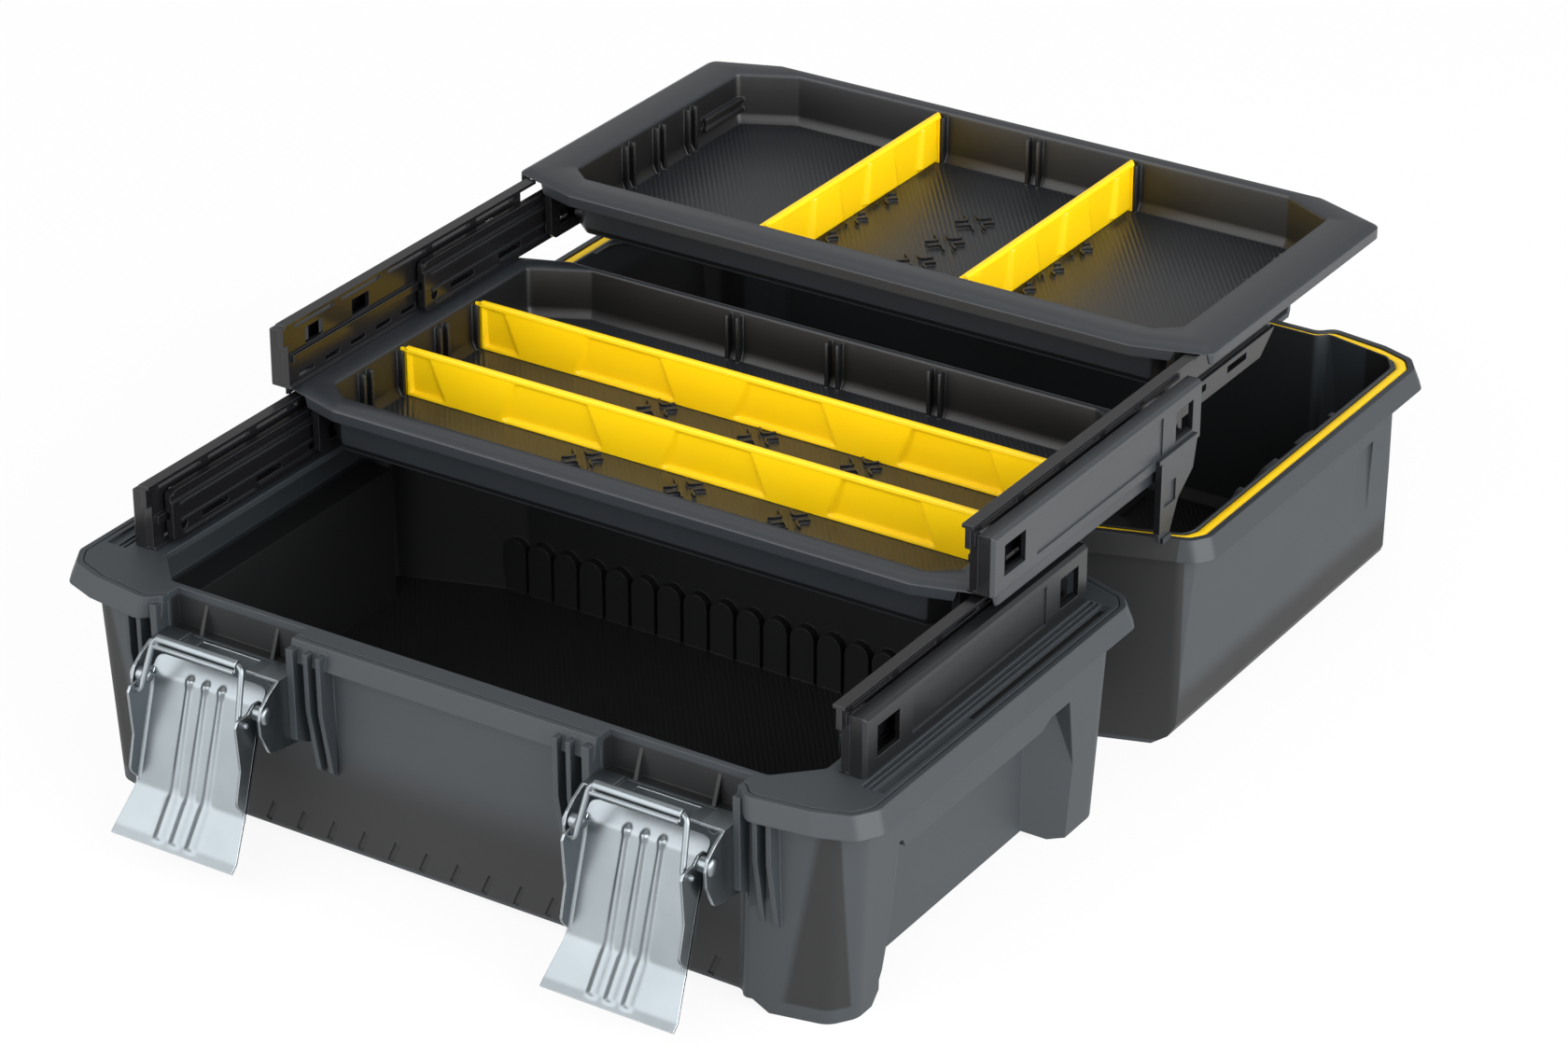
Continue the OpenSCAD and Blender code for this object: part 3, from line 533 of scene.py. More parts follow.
def turned(points, degrees):
    """Points turned about the upright axis; a height stays as it is."""
    c, s = math.cos(math.radians(degrees)), math.sin(math.radians(degrees))
    return np.hstack([points[:, :2] @ np.array([[c, s], [-s, c]]), points[:, 2:]])


def smooth(x):
    """0 below 0, 1 above 1, and 3 x^2 - 2 x^3 between."""
    x = np.clip(x, 0.0, 1.0)
    return x * x * (3.0 - 2.0 * x)


def quads(rows, columns, ring_rows=False, ring_columns=False):
    """Corner numbers of a grid's faces; a ring joins its last row or column to the first."""
    i, j = np.meshgrid(np.arange(rows if ring_rows else rows - 1),
                       np.arange(columns if ring_columns else columns - 1), indexing="ij")
    i2, j2 = (i + 1) % rows, (j + 1) % columns
    corners = [i * columns + j, i * columns + j2, i2 * columns + j2, i2 * columns + j]
    return np.stack(corners, axis=-1).reshape(-1, 4)


def skin(front, back):
    """Points and faces of the closed body between two grids of the same size."""
    rows, columns = front.shape[:2]
    count = rows * columns
    face = quads(rows, columns)
    number = np.arange(count).reshape(rows, columns)
    edge = np.concatenate([number[0, :-1], number[:-1, -1], number[-1, :0:-1], number[:0:-1, 0]])
    onward = np.roll(edge, -1)
    rim = np.stack([onward, edge, edge + count, onward + count], axis=-1)
    points = np.concatenate([front.reshape(-1, 3), back.reshape(-1, 3)])
    return points, [*face.tolist(), *(face[:, ::-1] + count).tolist(), *rim.tolist()]


def loft(rings):
    """Points and faces of a body through rings of points, with a flat face on either end."""
    rings = np.stack(rings)
    rows, columns = rings.shape[:2]
    faces = quads(rows, columns, ring_columns=True).tolist()
    last = (rows - 1) * columns
    faces += [list(range(columns))[::-1], list(range(last, last + columns))]
    return rings.reshape(-1, 3), faces


def at_height(outline, z):
    """A flat outline as a ring at height z, which may differ from point to point."""
    return np.column_stack([outline, np.zeros(len(outline)) + z])


def prism(outline, z0, z1):
    """An upright body with one flat outline, from height z0 to height z1."""
    return loft([at_height(outline, z) for z in (z0, z1)])


def moved(parts, place):
    """The same bodies moved to a place."""
    return [(np.asarray(points) + np.asarray(place), faces) for points, faces in parts]


SAME_POINT = 1e-7                  # metres
SHARP_TURN = math.radians(38.0)    # an edge that turns more than this stays crisp


def make(name, parts, finish, body, stands_for):
    """One object from several closed bodies in millimetres; stands_for names the part of the
    frame that it takes the place of, or is None for a piece that the frame lacks.
    The bodies' points follow one another in one array, so each body's faces count on from
    the number of points before it: place = 0.001 p - (0, OPEN_MIDDLE, 0)."""
    before = np.cumsum([0] + [len(points) for points, faces in parts])
    places = np.concatenate([np.asarray(points, float) for points, faces in parts]) * MM
    places -= np.array([0.0, OPEN_MIDDLE, 0.0])
    corners = [(np.asarray(face) + first).tolist()
               for first, (points, faces) in zip(before, parts) for face in faces]
    mesh = bpy.data.meshes.new(name)
    mesh.from_pydata(places.tolist(), [], corners)
    build = bmesh.new()
    build.from_mesh(mesh)
    bmesh.ops.remove_doubles(build, verts=build.verts, dist=SAME_POINT)
    bmesh.ops.dissolve_degenerate(build, edges=build.edges, dist=SAME_POINT)
    bmesh.ops.recalc_face_normals(build, faces=build.faces)
    build.to_mesh(mesh)
    build.free()
    mesh.polygons.foreach_set("use_smooth", [True] * len(mesh.polygons))
    mesh.set_sharp_from_angle(angle=SHARP_TURN)
    mesh.materials.append(finish)
    obj = bpy.data.objects.new(name, mesh)
    bpy.context.scene.collection.objects.link(obj)
    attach(obj, body)
    if stands_for:
        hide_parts(stands_for)
    print(name, "faces:", len(mesh.polygons))


# %% [markdown]
# ## The latch lever
#
# On the real box this is one blank of 1.2 mm steel from a press: a flat plate with three
# stiffening beads, a band kicked back over the pivot, two cheeks folded forward that carry
# the wire, and a flared foot whose edge is rolled down to be kind to the thumb.  It could
# be cut from boxes and rounded after, but the beads and bends are what makes it look
# pressed, so the plate is a grid instead: a bent line in side view, pushed forward where
# the beads are.

# %% The lever's plate, from band to lip
LATCH_X = 123.6                           # middle of each latch
PIVOT = np.array([-153.9, 86.1])          # y, z of the lever's rivets
BAIL_AT = PIVOT + np.array([-9.3, -2.6])  # y, z of the wire's ends
SHEET = 1.2           # thickness of the steel
CREASE = 9.6          # length of the band above the crease
LEVER_BEND = 65.5     # length down to the bend of the foot
LEVER_LENGTH = 86.0   # length down to the widest part of the lip
BEAD_END = 88.5       # length down to where the beads run out
PLATE_HALF, BEND_HALF, FOOT_HALF = 32.3, 32.6, 36.0    # half widths, from the top down
TOP_RADIUS = 4.0      # the band's upper corners
BEAD_X = np.array([-9.4, 0.0, 9.4])

# the plate in side view, as y, z from the pivot
SIDE_CORNERS = [(9.5, 8.4), (3.25, 1.25), (-13.15, -52.25), (-25.0, -68.6), (-28.9, -72.0)]
side_line = even(rounded(SIDE_CORNERS, [3.2, 8.0, 1.6]), 100)


def bead_height(x, s):
    """Three ribs, height cos^2 across; knobs at the crease; wide flutes on the foot."""
    foot = smooth((s - LEVER_BEND + 5.0) / 8.0)
    knob = np.exp(-((s - CREASE + 0.6) / 2.0) ** 2)
    half = 2.2 + 0.9 * smooth((s - CREASE) / 45.0) + 1.5 * foot + 0.9 * knob
    tall = 1.15 + 0.85 * knob + 0.45 * foot
    tall = tall * smooth((s - CREASE + 3.8) / 2.4) * smooth((BEAD_END - s) / 3.0)
    away = np.min(np.abs(x[..., None] - BEAD_X), axis=-1)
    return tall * np.cos(0.5 * math.pi * np.clip(away / half, 0.0, 1.0)) ** 2


def lever_plate():
    """Grid of (x, y, z) = (across, side line + outward * bead), and its back, 1.2 mm behind."""
    s = lengths_to(side_line)
    wide = np.interp(s, [0.0, LEVER_BEND - 2.0, LEVER_BEND + 2.0, LEVER_LENGTH],
                     [PLATE_HALF, PLATE_HALF, BEND_HALF, FOOT_HALF])
    corner = np.clip(TOP_RADIUS - s, 0.0, TOP_RADIUS)
    wide = wide - (TOP_RADIUS - np.sqrt(TOP_RADIUS ** 2 - corner ** 2))
    across = np.concatenate([np.linspace(-1.0, -0.4, 12), np.linspace(-0.385, 0.385, 66),
                             np.linspace(0.4, 1.0, 12)])
    x = wide[:, None] * across[None, :]
    rise = bead_height(x, s[:, None] * np.ones_like(x))
    (y, z), (out_y, out_z) = (np.hsplit(w, 2) for w in (side_line, -normals(side_line)))
    return [np.stack([x, y + out_y * h, z + out_z * h], axis=-1) for h in (rise, rise - SHEET)]


def slab(outline, x0, x1):
    """Flat plate of a y, z outline between two x values."""
    points, faces = prism(outline, x0, x1)
    return np.roll(points, 1, axis=1), faces


CHEEK = rounded_loop([(5.6, 1.2), (3.4, 4.4), (-1.6, 4.6), (-6.0, 1.4), (-13.4, 1.2),
                      (-15.4, -1.8), (-13.4, -25.0), (-17.4, -41.0), (-16.6, -43.6),
                      (-11.4, -49.6), (-9.6, -48.0)], 1.6)
CHEEK_INNER, CHEEK_OUTER = PLATE_HALF - SHEET, PLATE_HALF
FOLD_LINE = np.array([(2.9, 0.2), (-12.4, -49.6)])
FOLD_OUT = np.array([-0.956, 0.293])      # square to the fold line
FOLD_RADIUS, FOLD_X = 1.6, 29.55


def fold(side):
    """Quarter round that joins the plate to a cheek, swept down the fold line:
    reach = radius (sin a, 1 - cos a)."""
    a = np.linspace(0.0, 0.5 * math.pi, 7)
    reach = np.stack([np.sin(a), 1.0 - np.cos(a)], axis=1) * FOLD_RADIUS
    arc = np.vstack([reach, [[1.62, -0.2]]])
    return loft([np.column_stack([side * (FOLD_X + arc[:, 0]), p + FOLD_OUT * arc[:, 1:]])
                 for p in FOLD_LINE])


def make_latches(pieces):
    """The same zinc pieces on both latches, as rows of (name, parts, centre, body, part that
    it stands for); a side's name is added to each name."""
    for side, x in (("left", -LATCH_X), ("right", LATCH_X)):
        for name, parts, centre, body, stands_for in pieces:
            make(name + side, moved(parts, (x, *centre)), finishes["zinc"], body + side,
                 stands_for + side)


lever_body = [skin(*lever_plate()), slab(CHEEK, -CHEEK_OUTER, -CHEEK_INNER),
              slab(CHEEK, CHEEK_INNER, CHEEK_OUTER), fold(-1), fold(1)]
make_latches([("pressed_lever_", lever_body, PIVOT, "latch_lever_", "lever_")])

# %% [markdown]
# ## The wire and its hook
#
# The wire is bent from one length: a crossbar, two arms that spread a little, and ends
# turned out through the cheeks.  Its whole path lies in one plane, so a circle carried along
# the path needs only that plane's normal and the path's tangent to stay square to it.  The
# hook is a strip rolled round the crossbar, whose lower edge curls out under the lid's catch.

# %% Wire, hook and rivets
BAIL_LENGTH = 26.55                # from the wire's ends to its crossbar
WIRE_RADIUS = 1.5
LEAN = math.radians(19.0)
BAIL_UP = np.array([0.0, math.sin(LEAN), math.cos(LEAN)])
BAIL_BACK = np.array([0.0, math.cos(LEAN), -math.sin(LEAN)])
ALONG_X = np.array([1.0, 0.0, 0.0])


def wire(path, radius, across, sides=18):
    """Round wire: path + radius (cos a b + sin a n), with b = n x tangent and domed ends."""
    b = np.cross(across, tangents(path))
    a = np.linspace(0.0, 2.0 * math.pi, sides, endpoint=False)
    ring = np.cos(a)[None, :, None] * b[:, None] + np.sin(a)[None, :, None] * across
    size = np.full(len(path), radius)
    size[[0, -1]] = radius * 0.6
    size[[1, -2]] = radius * 0.92
    return loft(path[:, None] + ring * size[:, None, None])


BEND_CORNERS = [(34.6, 0.0), (28.8, 0.0), (26.0, BAIL_LENGTH),
                (-26.0, BAIL_LENGTH), (-28.8, 0.0), (-34.6, 0.0)]
bend_line = even(rounded(BEND_CORNERS, [2.2, 4.6, 4.6, 2.2], 10), 150)
bail_path = bend_line[:, 0:1] * ALONG_X + bend_line[:, 1:2] * BAIL_UP
bail_body = [wire(bail_path, WIRE_RADIUS, np.cross(ALONG_X, BAIL_UP))]

ROLL_RADIUS = 2.1
# the strip's path after the roll, as (back, up) from the crossbar
HOOK_TAIL = [(-2.1, 0.0), (-2.1, -0.7), (-1.3, -2.2), (-1.7, -3.7), (-3.1, -4.0),
             (-3.7, -3.2), (-3.3, -2.5)]
HOOK_HALF_SHEET = 0.48


def hook_strip():
    """A strip 1 mm thick, rolled 2.1 mm round the crossbar, drawn in under it and curled out
    again, which leaves a groove between two round ridges."""
    a = np.radians(np.linspace(-70.0, 180.0, 26))
    roll = np.stack([np.cos(a), np.sin(a)], axis=1) * ROLL_RADIUS
    tail = rounded(HOOK_TAIL, [0.9, 0.8, 0.9, 0.6, 0.5])[1:]
    line = even(np.vstack([roll, tail]), 80)
    out = normals(line) * HOOK_HALF_SHEET
    x = np.array([-23.6, -23.2, 23.2, 23.6])
    trim = np.array([0.7, 1.0, 1.0, 0.7])    # the strip's thickness at each x
    grids = []
    for side in (1.0, -1.0):
        edge = line[None] + out[None] * trim[:, None, None] * side
        edge = edge + np.array([0.0, BAIL_LENGTH])
        grids.append(x[:, None, None] * ALONG_X + edge[..., 0:1] * BAIL_BACK
                     + edge[..., 1:2] * BAIL_UP)
    return skin(*grids)


def lathe(profile, sides=40):
    """A profile of (x, radius) turned about the x axis: (x, r cos a, r sin a)."""
    x, r = (np.asarray(profile, float)[:, i:i + 1] for i in (0, 1))
    a = np.linspace(0.0, 2.0 * math.pi, sides, endpoint=False)
    return loft(np.stack([np.repeat(x, sides, axis=1), r * np.cos(a), r * np.sin(a)], axis=-1))


# (x, radius) of a head inside the cheek, a collar up to the ear and a head outside the ear
RIVET = [(29.6, 1.4), (29.9, 2.4), (30.6, 2.9), (31.2, 2.9), (31.4, 2.5), (32.4, 2.5),
         (32.5, 3.9), (36.5, 3.9), (36.6, 2.5), (38.4, 2.5), (38.45, 4.3), (38.7, 4.6),
         (39.0, 4.5), (39.6, 3.9), (40.0, 2.8), (40.2, 1.2)]
rivet_body = [lathe(RIVET), lathe([(-x, r) for x, r in RIVET])]
make_latches([("bent_wire_", bail_body, BAIL_AT, "latch_bail_", "bail_"),
              ("rolled_hook_", [hook_strip()], BAIL_AT, "latch_bail_", "hook_"),
              ("turned_rivets_", rivet_body, PIVOT, "latch_lever_", "lever_rivets_")])

# %% [markdown]
# ## The dividers
#
# A divider is a moulded wall with a thick lip, stiffened by tapering panels that are pushed
# from one face out of the other.  The panel is a mask over the wall: 1 inside a trapezoid
# that widens downwards, 0 outside, with flanks that grow softer towards the foot.  Both
# faces move by the same amount, so the wall keeps its thickness all over.

# %% Dividers with pressed panels
DIVIDER_FACES = (-1.9, -0.4)       # across, from the middle of the lip
DIVIDER_LIP = [(-2.3, -2.2), (-1.5, 0.0), (1.5, 0.0), (2.3, -2.2)]
DIVIDER_DROP, FOOT_PLAY, END_PLAY = 0.6, 0.3, 0.1    # gaps to flange, floor and walls
LIP_GAP = 3.4                      # from the divider's end to the lip's
POST_GAP, POST_WIDTH = 3.2, 1.6


def rectangle(x0, x1, y0, y1):
    """The corners of a rectangle, counter-clockwise."""
    return [(x0, y0), (x1, y0), (x1, y1), (x0, y1)]


def divider_shape(length, height, first, step):
    """Across = -1.9 + depth * panel mask for one face and 1.5 mm more for the other; the
    panels' middles are first, first + step and so on."""
    u, v = np.meshgrid(np.linspace(0.4, length - 0.4, int(length / 1.25)),
                       0.6 + np.linspace(0.0, 1.0, 34) * (height - 0.6), indexing="ij")
    low = v / height
    away = np.min(np.abs(u[..., None] - np.arange(first, length + step, step)), axis=-1)
    panel = smooth((step * (0.21 + 0.10 * low) - away) / (1.2 + 3.4 * low) + 0.5)
    panel = panel * smooth((v - 2.6) / 1.3) * smooth((height - 1.2 - v) / 1.4)
    panel = panel * smooth((u - 5.2) / 0.8) * smooth((length - 5.2 - u) / 0.8)
    press = panel * (1.5 + 1.1 * low)
    wall = skin(*(np.stack([face + press, u, -v], axis=-1) for face in DIVIDER_FACES))
    lip = rounded_loop(DIVIDER_LIP, [0.4, 0.9, 0.9, 0.4])
    rail = loft([np.column_stack([lip[:, 0], np.full(len(lip), y), lip[:, 1]])
                 for y in (LIP_GAP, length - LIP_GAP)])
    posts = [prism(rounded_loop(rectangle(-1.9, 1.9, y, y + POST_WIDTH), 0.5), -height, -0.6)
             for y in (POST_GAP, length - POST_GAP - POST_WIDTH)]
    return [wall, rail, *posts]


def divider_height(tray):
    """From a divider's lip down to its foot, which clears the bin's floor."""
    return tray.deep - TRAY_WALL - DIVIDER_DROP - FOOT_PLAY


LONG = 2.0 * (WALL_IN - END_PLAY)
SHORT = TOP.rear - TOP.front - 2.0 * (TRAY_WALL + END_PLAY)
FRONT_ROW, REAR_ROW = 76.0, 140.0          # the middle dividers, behind the flange's front
TOP_COLUMN = 59.0                          # the top dividers, from the middle
long_divider = [(turned(points, 90.0), faces) for points, faces in
                divider_shape(LONG, divider_height(MIDDLE), first=-20.3, step=95.5)]
short_divider = divider_shape(SHORT, divider_height(TOP), first=8.0, step=54.0)
start = TOP.front + TRAY_WALL + END_PLAY
dividers = [("middle_divider_front", long_divider, MIDDLE, LONG / 2, FRONT_ROW),
            ("middle_divider_rear", long_divider, MIDDLE, LONG / 2, REAR_ROW),
            ("top_divider_left", short_divider, TOP, -TOP_COLUMN, start),
            ("top_divider_right", short_divider, TOP, TOP_COLUMN, start)]
for name, shape, tray, x, y in dividers:
    place = (x, tray.flange_y + y, tray.flange_z - DIVIDER_DROP)
    make(name + "_moulded", moved(shape, place), finishes["yellow"], name + "_body",
         name)

# %% [markdown]
# ## The trays
#
# Each tray is one shell from a mould: a flange with a bevelled edge and a short skirt, walls
# that drop straight, and a small chamfer where they meet the floor.  The frame's trays have
# crisp corners; here the section is carried round the outline as rings of points, so every
# corner is rounded and each pair of rings gives one band of faces.  The ribs that hold the
# dividers and the arched lugs on the floor are small bodies, sunk a little into the shell.

# %% Rings of a tray's shell
FLANGE_RIGHT = [(165.0, 0.0), (204.0, 11.3), (204.0, 192.0), (165.0, 207.0)]
BETWEEN_CORNERS = 19               # points on each straight side of a ring
CORNER_STEPS = 4                   # parts of each rounded corner
SKIRT, REAR_SKIRT, CUT_SKIRT = -8.2, -5.6, -2.9    # heights of the skirt's lower edge
CUT_FRONT, CUT_REAR, CUT_X = 12.5, 190.5, (186.2, 202.2)    # where the rails pass below it


def mirrored(right):
    """A counter-clockwise outline from its right half, listed from the front to the rear."""
    right = np.asarray(right, float)
    return np.vstack([right, right[::-1] * np.array([-1.0, 1.0])])


def dense_loop(corners, radius):
    """Rounded corners joined by evenly spaced points: a + t (b - a), t = 1/20 ... 19/20."""
    arcs = rounded_loop(corners, radius, CORNER_STEPS).reshape(len(corners), CORNER_STEPS + 1, 2)
    t = np.linspace(0.0, 1.0, BETWEEN_CORNERS + 2)[1:-1][None, :, None]
    start, end = arcs[:, -1:], np.roll(arcs, -1, axis=0)[:, :1]
    return np.concatenate([arcs, start + t * (end - start)], axis=1).reshape(-1, 2)


def ring(corners, inward, radius, z):
    """The outline moved inwards, at height z, which may differ from point to point."""
    return at_height(dense_loop(drawn_in(corners, inward), radius), z)


def tray_shell(tray):
    """Rings from the middle of the floor up the wall, over the flange and back underneath;
    each row below is an outline, how far it moves inwards, its corners' radius and its z."""
    flange = mirrored(FLANGE_RIGHT)
    walls = mirrored([(168.0, tray.front), (BIN_HALF, tray.front + 11.0),
                      (BIN_HALF, tray.rear - 16.0), (150.0, tray.rear)])
    edge = dense_loop(flange, 5.0)
    x, y = np.abs(edge[:, 0]), edge[:, 1]
    cut = ((y < CUT_FRONT) | (y > CUT_REAR)) & (x > CUT_X[0]) & (x < CUT_X[1])
    skirt = np.where(cut, CUT_SKIRT,
                     np.where((y > CUT_REAR) & (x <= CUT_X[0]), REAR_SKIRT, SKIRT))
    floor_z = TRAY_WALL - tray.deep
    w = TRAY_WALL
    rows = [(walls, w + 12.0, 6.0, floor_z), (walls, w + 2.6, 4.0, floor_z),
            (walls, w + 1.4, 4.0, floor_z + 1.7), (walls, w + 0.25, 4.0, floor_z + 4.4),
            (walls, w, 4.0, floor_z + 5.6), (walls, w, 4.0, -1.2),
            (walls, w - 0.3, 4.0, -0.45), (walls, w - 1.0, 4.0, 0.0),
            (flange, 4.4, 4.5, 0.0), (flange, 3.6, 4.6, -0.25), (flange, 0.6, 5.0, -2.0),
            (flange, 0.0, 5.0, -2.7), (flange, 0.0, 5.0, skirt), (flange, 2.0, 4.0, skirt),
            (flange, 2.1, 4.0, -2.55), (walls, 0.0, 5.0, -2.6),
            (walls, 0.3, 5.0, 5.0 - tray.deep), (walls, 2.6, 5.0, 0.0 - tray.deep)]
    return loft([ring(*row) for row in rows])


# %% The ribs and lugs in a tray
RIB_APART, RIB_HALF = 3.2, 1.0     # from a divider's middle to its ribs, and half a rib
SUNK = 0.4                         # how deep a small body is sunk into the wall
LUG_TALL, LUG_HALF_SHEET = 2.0, 0.5


def bar(x_ends, y_ends, z0, z1):
    """An upright bar with rounded corners and a slightly narrower top."""
    corners = rectangle(*sorted(x_ends), *sorted(y_ends))
    return loft([at_height(rounded_loop(drawn_in(corners, d), 0.5, 2), z)
                 for d, z in ((0.0, z0), (0.0, z1 - 0.5), (0.35, z1))])


def rib_pairs(tray, places, along_x, top, reach):
    """Two bars either side of each place (x, y, way) on a wall, reaching the way it says,
    from just below the bin's floor to top."""
    foot = TRAY_WALL - tray.deep - 0.5
    parts = []
    for x, y, way in places:
        for side in (-RIB_APART, RIB_APART):
            if along_x:
                ends = (x + side - RIB_HALF, x + side + RIB_HALF), (y, y + way * reach)
            else:
                ends = (x, x + way * reach), (y + side - RIB_HALF, y + side + RIB_HALF)
            parts.append(bar(*ends, foot, top))
    return parts


def on_sides(ys):
    """Places on both side walls of a bin, each with its way into the bin."""
    return [(-way * (WALL_IN + SUNK), y, way) for way in (1, -1) for y in ys]


def on_ends(wall, way, xs):
    """Places on a bin's front wall, whose way in is 1, or on its rear wall, with -1."""
    return [(x, wall + way * (TRAY_WALL - SUNK), way) for x in xs]


def lug(x, y, turn, z, t0, t1):
    """An arched rib whose crown faces the middle: (4.7 t, 4.6 + 4.6 |t|^1.5), 1 mm thick."""
    t = np.linspace(t0, t1, 9)
    line = np.stack([4.7 * t, 4.6 + 4.6 * np.abs(t) ** 1.5], axis=1)
    out = normals(line) * LUG_HALF_SHEET
    loop = np.vstack([line + out, (line - out)[::-1]])
    return prism(turned(loop, turn) + np.array([x, y]), z - 0.6, z + LUG_TALL)


def lugs(tray, xs, ys, split=()):
    """Four lugs round each crossing of the xs and ys; where a divider passes, the two it
    would cross are halved."""
    z = TRAY_WALL - tray.deep
    parts = []
    for x, y in [(x, y) for x in xs for y in ys]:
        for turn in (0.0, 90.0, 180.0, 270.0):
            halved = x in split and turn in (0.0, 180.0)
            spans = ((-1.0, -0.5), (0.5, 1.0)) if halved else ((-1.0, 1.0),)
            parts += [lug(x, y, turn, z, *span) for span in spans]
    return parts


def clips():
    """Two rails and the block between them, in the middle of each side wall."""
    parts = []
    for way in (1, -1):
        outer = -way * (WALL_IN + SUNK)
        parts += [bar((outer, -way * (WALL_IN - 3.2)), (146.0, 184.0), z, z + 2.6)
                  for z in (-22.0, -16.5)]
        parts.append(bar((outer, -way * (WALL_IN - 2.2)), (147.5, 182.5), -20.5, -15.5))
    return parts


# %% Both trays
def make_tray(name, tray, body, details):
    """The tray's shell and its small bodies, as one piece."""
    parts = moved([tray_shell(tray), *details], (0.0, tray.flange_y, tray.flange_z))
    make(name + "_moulded", parts, finishes[name], body, name)


columns = (-60.0, 0.0, 60.0)
make_tray("middle_tray", MIDDLE, "middle_stage", [
    *rib_pairs(MIDDLE, on_sides((44.0, FRONT_ROW, 108.0, REAR_ROW)), False, top=-2.2, reach=4.0),
    *rib_pairs(MIDDLE, on_ends(MIDDLE.rear, -1, columns), True, top=-2.2, reach=5.0),
    *lugs(MIDDLE, columns, (62.0, 127.5))])

columns = (-TOP_COLUMN, 0.0, TOP_COLUMN)
rows = (74.0, 103.0, 133.0)
make_tray("top_tray", TOP, "top_stage", [
    *rib_pairs(TOP, on_sides(rows), False, top=-3.0, reach=4.0),
    *rib_pairs(TOP, on_ends(TOP.rear, -1, columns), True, top=-2.6, reach=5.0),
    *rib_pairs(TOP, on_ends(TOP.front, 1, columns), True, top=-2.6, reach=4.0),
    *clips(), *lugs(TOP, columns, rows, split=(-TOP_COLUMN, TOP_COLUMN))])

# %% [markdown]
# ## The seal
#
# A soft yellow ring with a D section lies in a groove all round the lid's rim.  Its path is
# the rim's outline drawn in by 3.4 mm, and it narrows wherever the lid's wall comes close,
# so the width at each point is the smaller of 6 mm and the way left to the wall.

# %% The seal in the lid's rim
RIM_RIGHT = [(162.0, -132.0), (168.0, -139.0), (200.0, -134.5), (218.0, -128.0),
             (225.0, -117.0), (225.0, 104.0), (219.0, 113.0), (142.0, 139.5)]
WALL_RIGHT = [(163.0, -128.5), (167.0, -134.0), (208.0, -125.5), (216.5, -113.0),
              (217.0, 103.0), (213.5, 110.5), (141.0, 135.0)]
HINGE_Y = 146.0                    # the open lid is the shut one, turned over about this line
SEAL_INSET, SEAL_WIDTH, SEAL_TALL = 3.4, 6.0, 1.85
SEAL_SEAT = 114.85                 # height of the groove's floor


def way_to(points, loop):
    """Shortest distance from each point to the segments of a closed outline."""
    a = loop[None]
    along = np.roll(loop, -1, axis=0)[None] - a
    t = ((points[:, None] - a) * along).sum(axis=2) / np.maximum((along ** 2).sum(axis=2), 1e-12)
    near = a + np.clip(t, 0.0, 1.0)[..., None] * along
    return np.linalg.norm(points[:, None] - near, axis=2).min(axis=1)


def seal_body():
    """Rings of a D section along the rim, laid open with the lid: across = w (1 - cos a) / 2
    and up = 1.85 (sin a) ^ 0.55."""
    outer = rounded_loop(drawn_in(mirrored(RIM_RIGHT), SEAL_INSET), 6.3, 5)
    outer = even(np.vstack([outer, outer[:1]]), 481)[:-1]
    wall = rounded_loop(drawn_in(mirrored(WALL_RIGHT), 1.9), 6.0, 5)
    width = np.minimum(SEAL_WIDTH, way_to(outer, wall))
    inward = normals(np.vstack([outer[-1:], outer, outer[:1]]))[1:-1]
    a = np.linspace(0.0, math.pi, 12)
    across = np.append(0.5 * (1.0 - np.cos(a)), 0.5)
    tall = np.append(SEAL_TALL * np.sin(a) ** 0.55, 0.0)
    flat = outer[:, None] + inward[:, None] * (width[:, None] * across[None])[..., None]
    x, y = flat[..., 0], 2.0 * HINGE_Y - flat[..., 1]
    rings = np.stack([x, y, SEAL_SEAT + tall[None] + 0.0 * x], axis=-1)
    faces = quads(*rings.shape[:2], ring_rows=True, ring_columns=True)
    return rings.reshape(-1, 3), faces.tolist()


make("rim_seal", [seal_body()], finishes["seal"], "lid", "lid_seal")

# %% [markdown]
# ## The floor of the handle's well
#
# The carry handle folds into a well in the lid's top.  The frame's well has its four walls
# but is open below, so this shallow pan closes it.  It is one more body of rings: across its
# floor, up its side, over its edge and back underneath.

# %% The pan under the handle
PAN = rectangle(-92.05, 92.05, 307.95, 354.05)


def well_pan():
    """Rings of the pan's outline, each with its way inwards, its radius and its height."""
    rows = [(10.0, 4.0, 13.0), (1.2, 5.2, 13.0), (0.35, 5.7, 12.65), (0.0, 6.0, 11.8),
            (0.0, 6.0, 10.2), (-2.5, 8.5, 10.2), (-2.5, 8.5, 15.0), (-1.9, 8.0, 15.6)]
    return loft([at_height(rounded_loop(drawn_in(PAN, inward), radius, 6), z)
                 for inward, radius, z in rows])


make("handle_well_pan", [well_pan()], finishes["lid"], "lid", None)

# %% [markdown]
# ## Floor, light and camera
#
# The box stands on a plain white floor.  To a camera ray the floor and the world are white,
# and so is the floor in reflections; every other ray gets a plain level of light.  Large
# soft lamps in front and on the right, and a weak one above, shape the dark plastic with
# broad highlights.

# %% The floor
FLOOR_HALF = 6.0
GLOW = 0.90          # how much of the floor's look is its own white


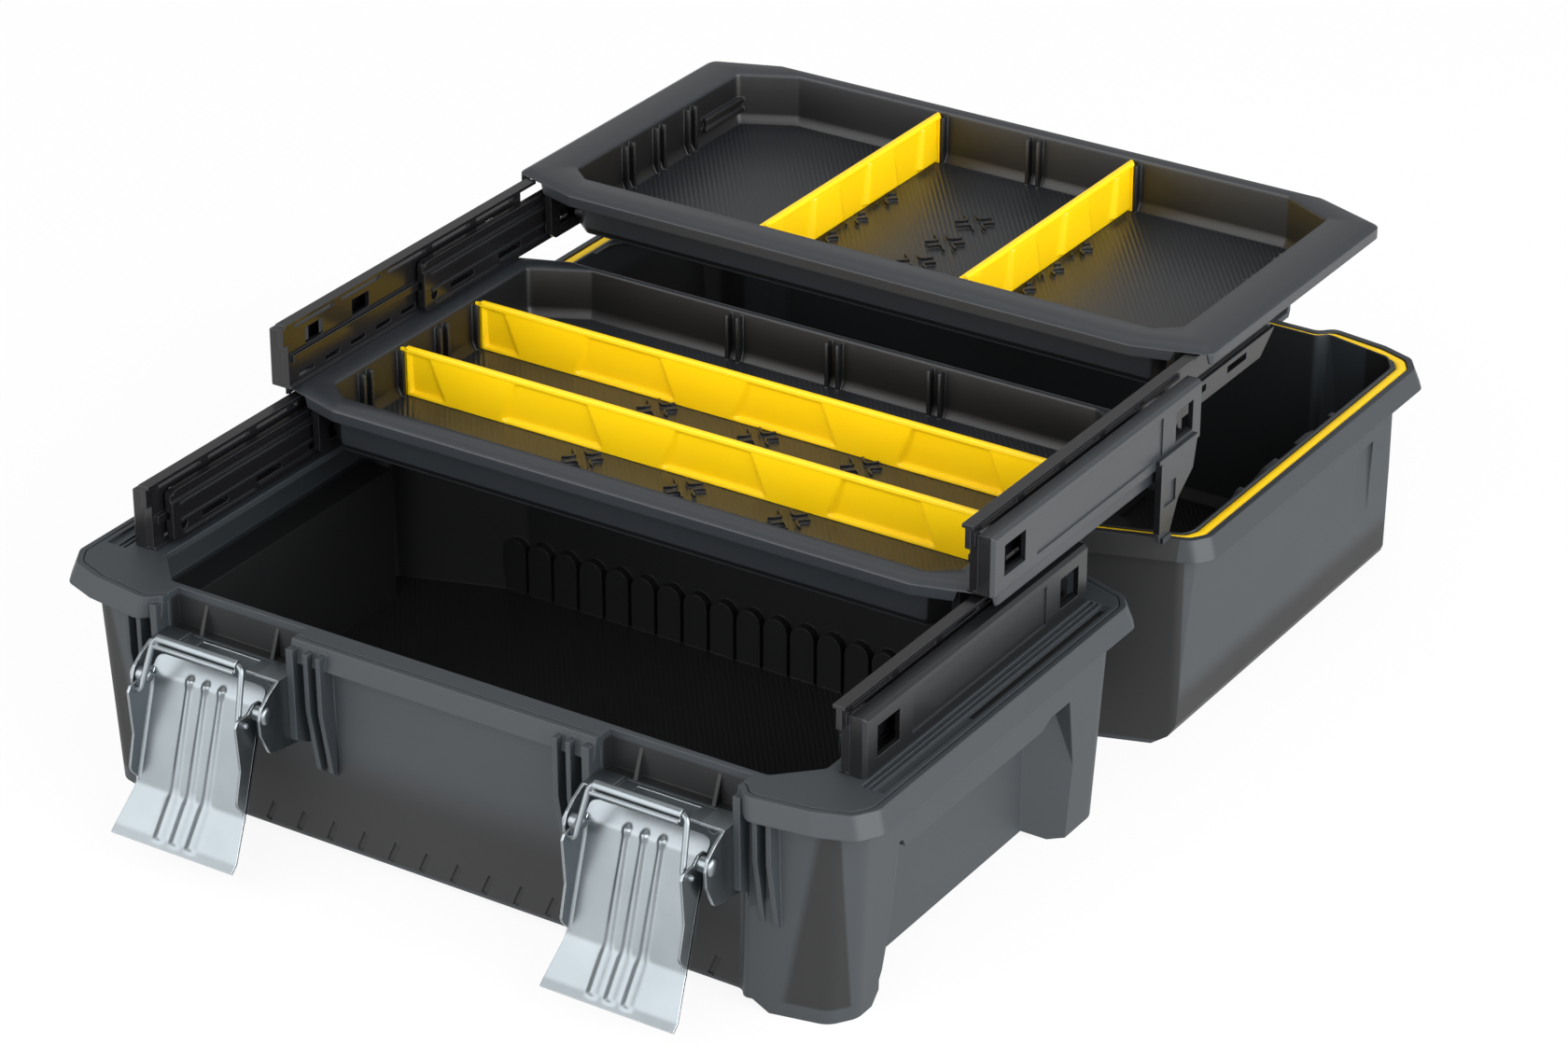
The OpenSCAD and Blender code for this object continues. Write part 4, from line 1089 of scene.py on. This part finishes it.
def white_stage(name):
    """White to the eye and in reflections, with the shadow of what stands on it."""
    f = Finish(name)
    f.put(Base_Color=(0.86, 0.86, 0.86, 1.0), Roughness=0.85, Specular_IOR_Level=0.1)
    glow = f.node("ShaderNodeEmission", None, {"Color": (1.0, 1.0, 1.0, 1.0), "Strength": 1.0})
    path = f.tree.nodes.new("ShaderNodeLightPath")
    seen = Field(f, path.outputs["Is Camera Ray"])
    seen = seen.maths("MAXIMUM", Field(f, path.outputs["Is Glossy Ray"]))
    seen = seen.maths("MAXIMUM", Field(f, path.outputs["Is Transmission Ray"]))
    lit = Field(f, f.shader.outputs[0])
    mixed = f.node("ShaderNodeMixShader", None, {0: seen * GLOW, 1: lit, 2: glow})
    f.tree.links.new(mixed.socket, f.tree.nodes["Material Output"].inputs["Surface"])
    return f.material


floor_mesh = bpy.data.meshes.new("floor")
floor_corners = rectangle(-FLOOR_HALF, FLOOR_HALF, -FLOOR_HALF, FLOOR_HALF)
floor_mesh.from_pydata([(x, y, 0.0) for x, y in floor_corners], [], [(0, 1, 2, 3)])
floor = bpy.data.objects.new("floor", floor_mesh)
bpy.context.scene.collection.objects.link(floor)
floor_mesh.materials.append(white_stage("white floor"))

# %% The world and the lamps
PLAIN_LEVEL = 0.5    # the world's light on the box, where 1 is the white that is seen
AIM = (0.0, 0.0, 0.1)
LAMPS = [("top softbox", (-0.3, 0.5, 1.9), (1.8, 1.4), 4.0),
         ("right softbox", (2.4, -0.4, 1.0), (3.2, 2.2), 112.0),
         ("front softbox", (-0.7, -2.5, 1.3), (5.0, 2.8), 112.0)]


def white_world():
    """White to the eye, and a plain level for everything else."""
    world = bpy.data.worlds.new("studio")
    bpy.context.scene.world = world
    world.use_nodes = True
    tree = world.node_tree
    background = tree.nodes["Background"]
    background.inputs["Color"].default_value = (1.0, 1.0, 1.0, 1.0)
    path = tree.nodes.new("ShaderNodeLightPath")
    level = tree.nodes.new("ShaderNodeMapRange")
    level.inputs["To Min"].default_value = PLAIN_LEVEL
    level.inputs["To Max"].default_value = 1.0
    tree.links.new(path.outputs["Is Camera Ray"], level.inputs["Value"])
    tree.links.new(level.outputs[0], background.inputs["Strength"])


def softbox(name, place, size, power):
    """A rectangular lamp at place, turned to face the box; power in watts."""
    lamp = bpy.data.lights.new(name, "AREA")
    lamp.shape = "RECTANGLE"
    lamp.size, lamp.size_y = size
    lamp.energy = power
    obj = bpy.data.objects.new(name, lamp)
    obj.location = place
    obj.rotation_euler = (Vector(AIM) - Vector(place)).to_track_quat("-Z", "Y").to_euler()
    bpy.context.scene.collection.objects.link(obj)


white_world()
for lamp in LAMPS:
    softbox(*lamp)

# %% The camera
CAMERA_PLACE = Vector((1.1845, -1.6984 - OPEN_MIDDLE, 1.2210))
CAMERA_YAW, CAMERA_PITCH, CAMERA_ROLL = 0.568, -0.480, 0.002    # radians
SENSOR, LENS = 36.0, 113.3                                      # millimetres

camera_data = bpy.data.cameras.new("camera")
camera_data.sensor_width = SENSOR
camera_data.lens = LENS
camera = bpy.data.objects.new("camera", camera_data)
camera.matrix_world = (Matrix.Translation(CAMERA_PLACE)
                       @ Matrix.Rotation(CAMERA_YAW, 4, "Z")
                       @ Matrix.Rotation(math.pi / 2 + CAMERA_PITCH, 4, "X")
                       @ Matrix.Rotation(CAMERA_ROLL, 4, "Z"))
bpy.context.scene.collection.objects.link(camera)
bpy.context.scene.camera = camera
bpy.context.scene.view_settings.view_transform = "Standard"
print("camera at", tuple(round(v, 3) for v in CAMERA_PLACE))
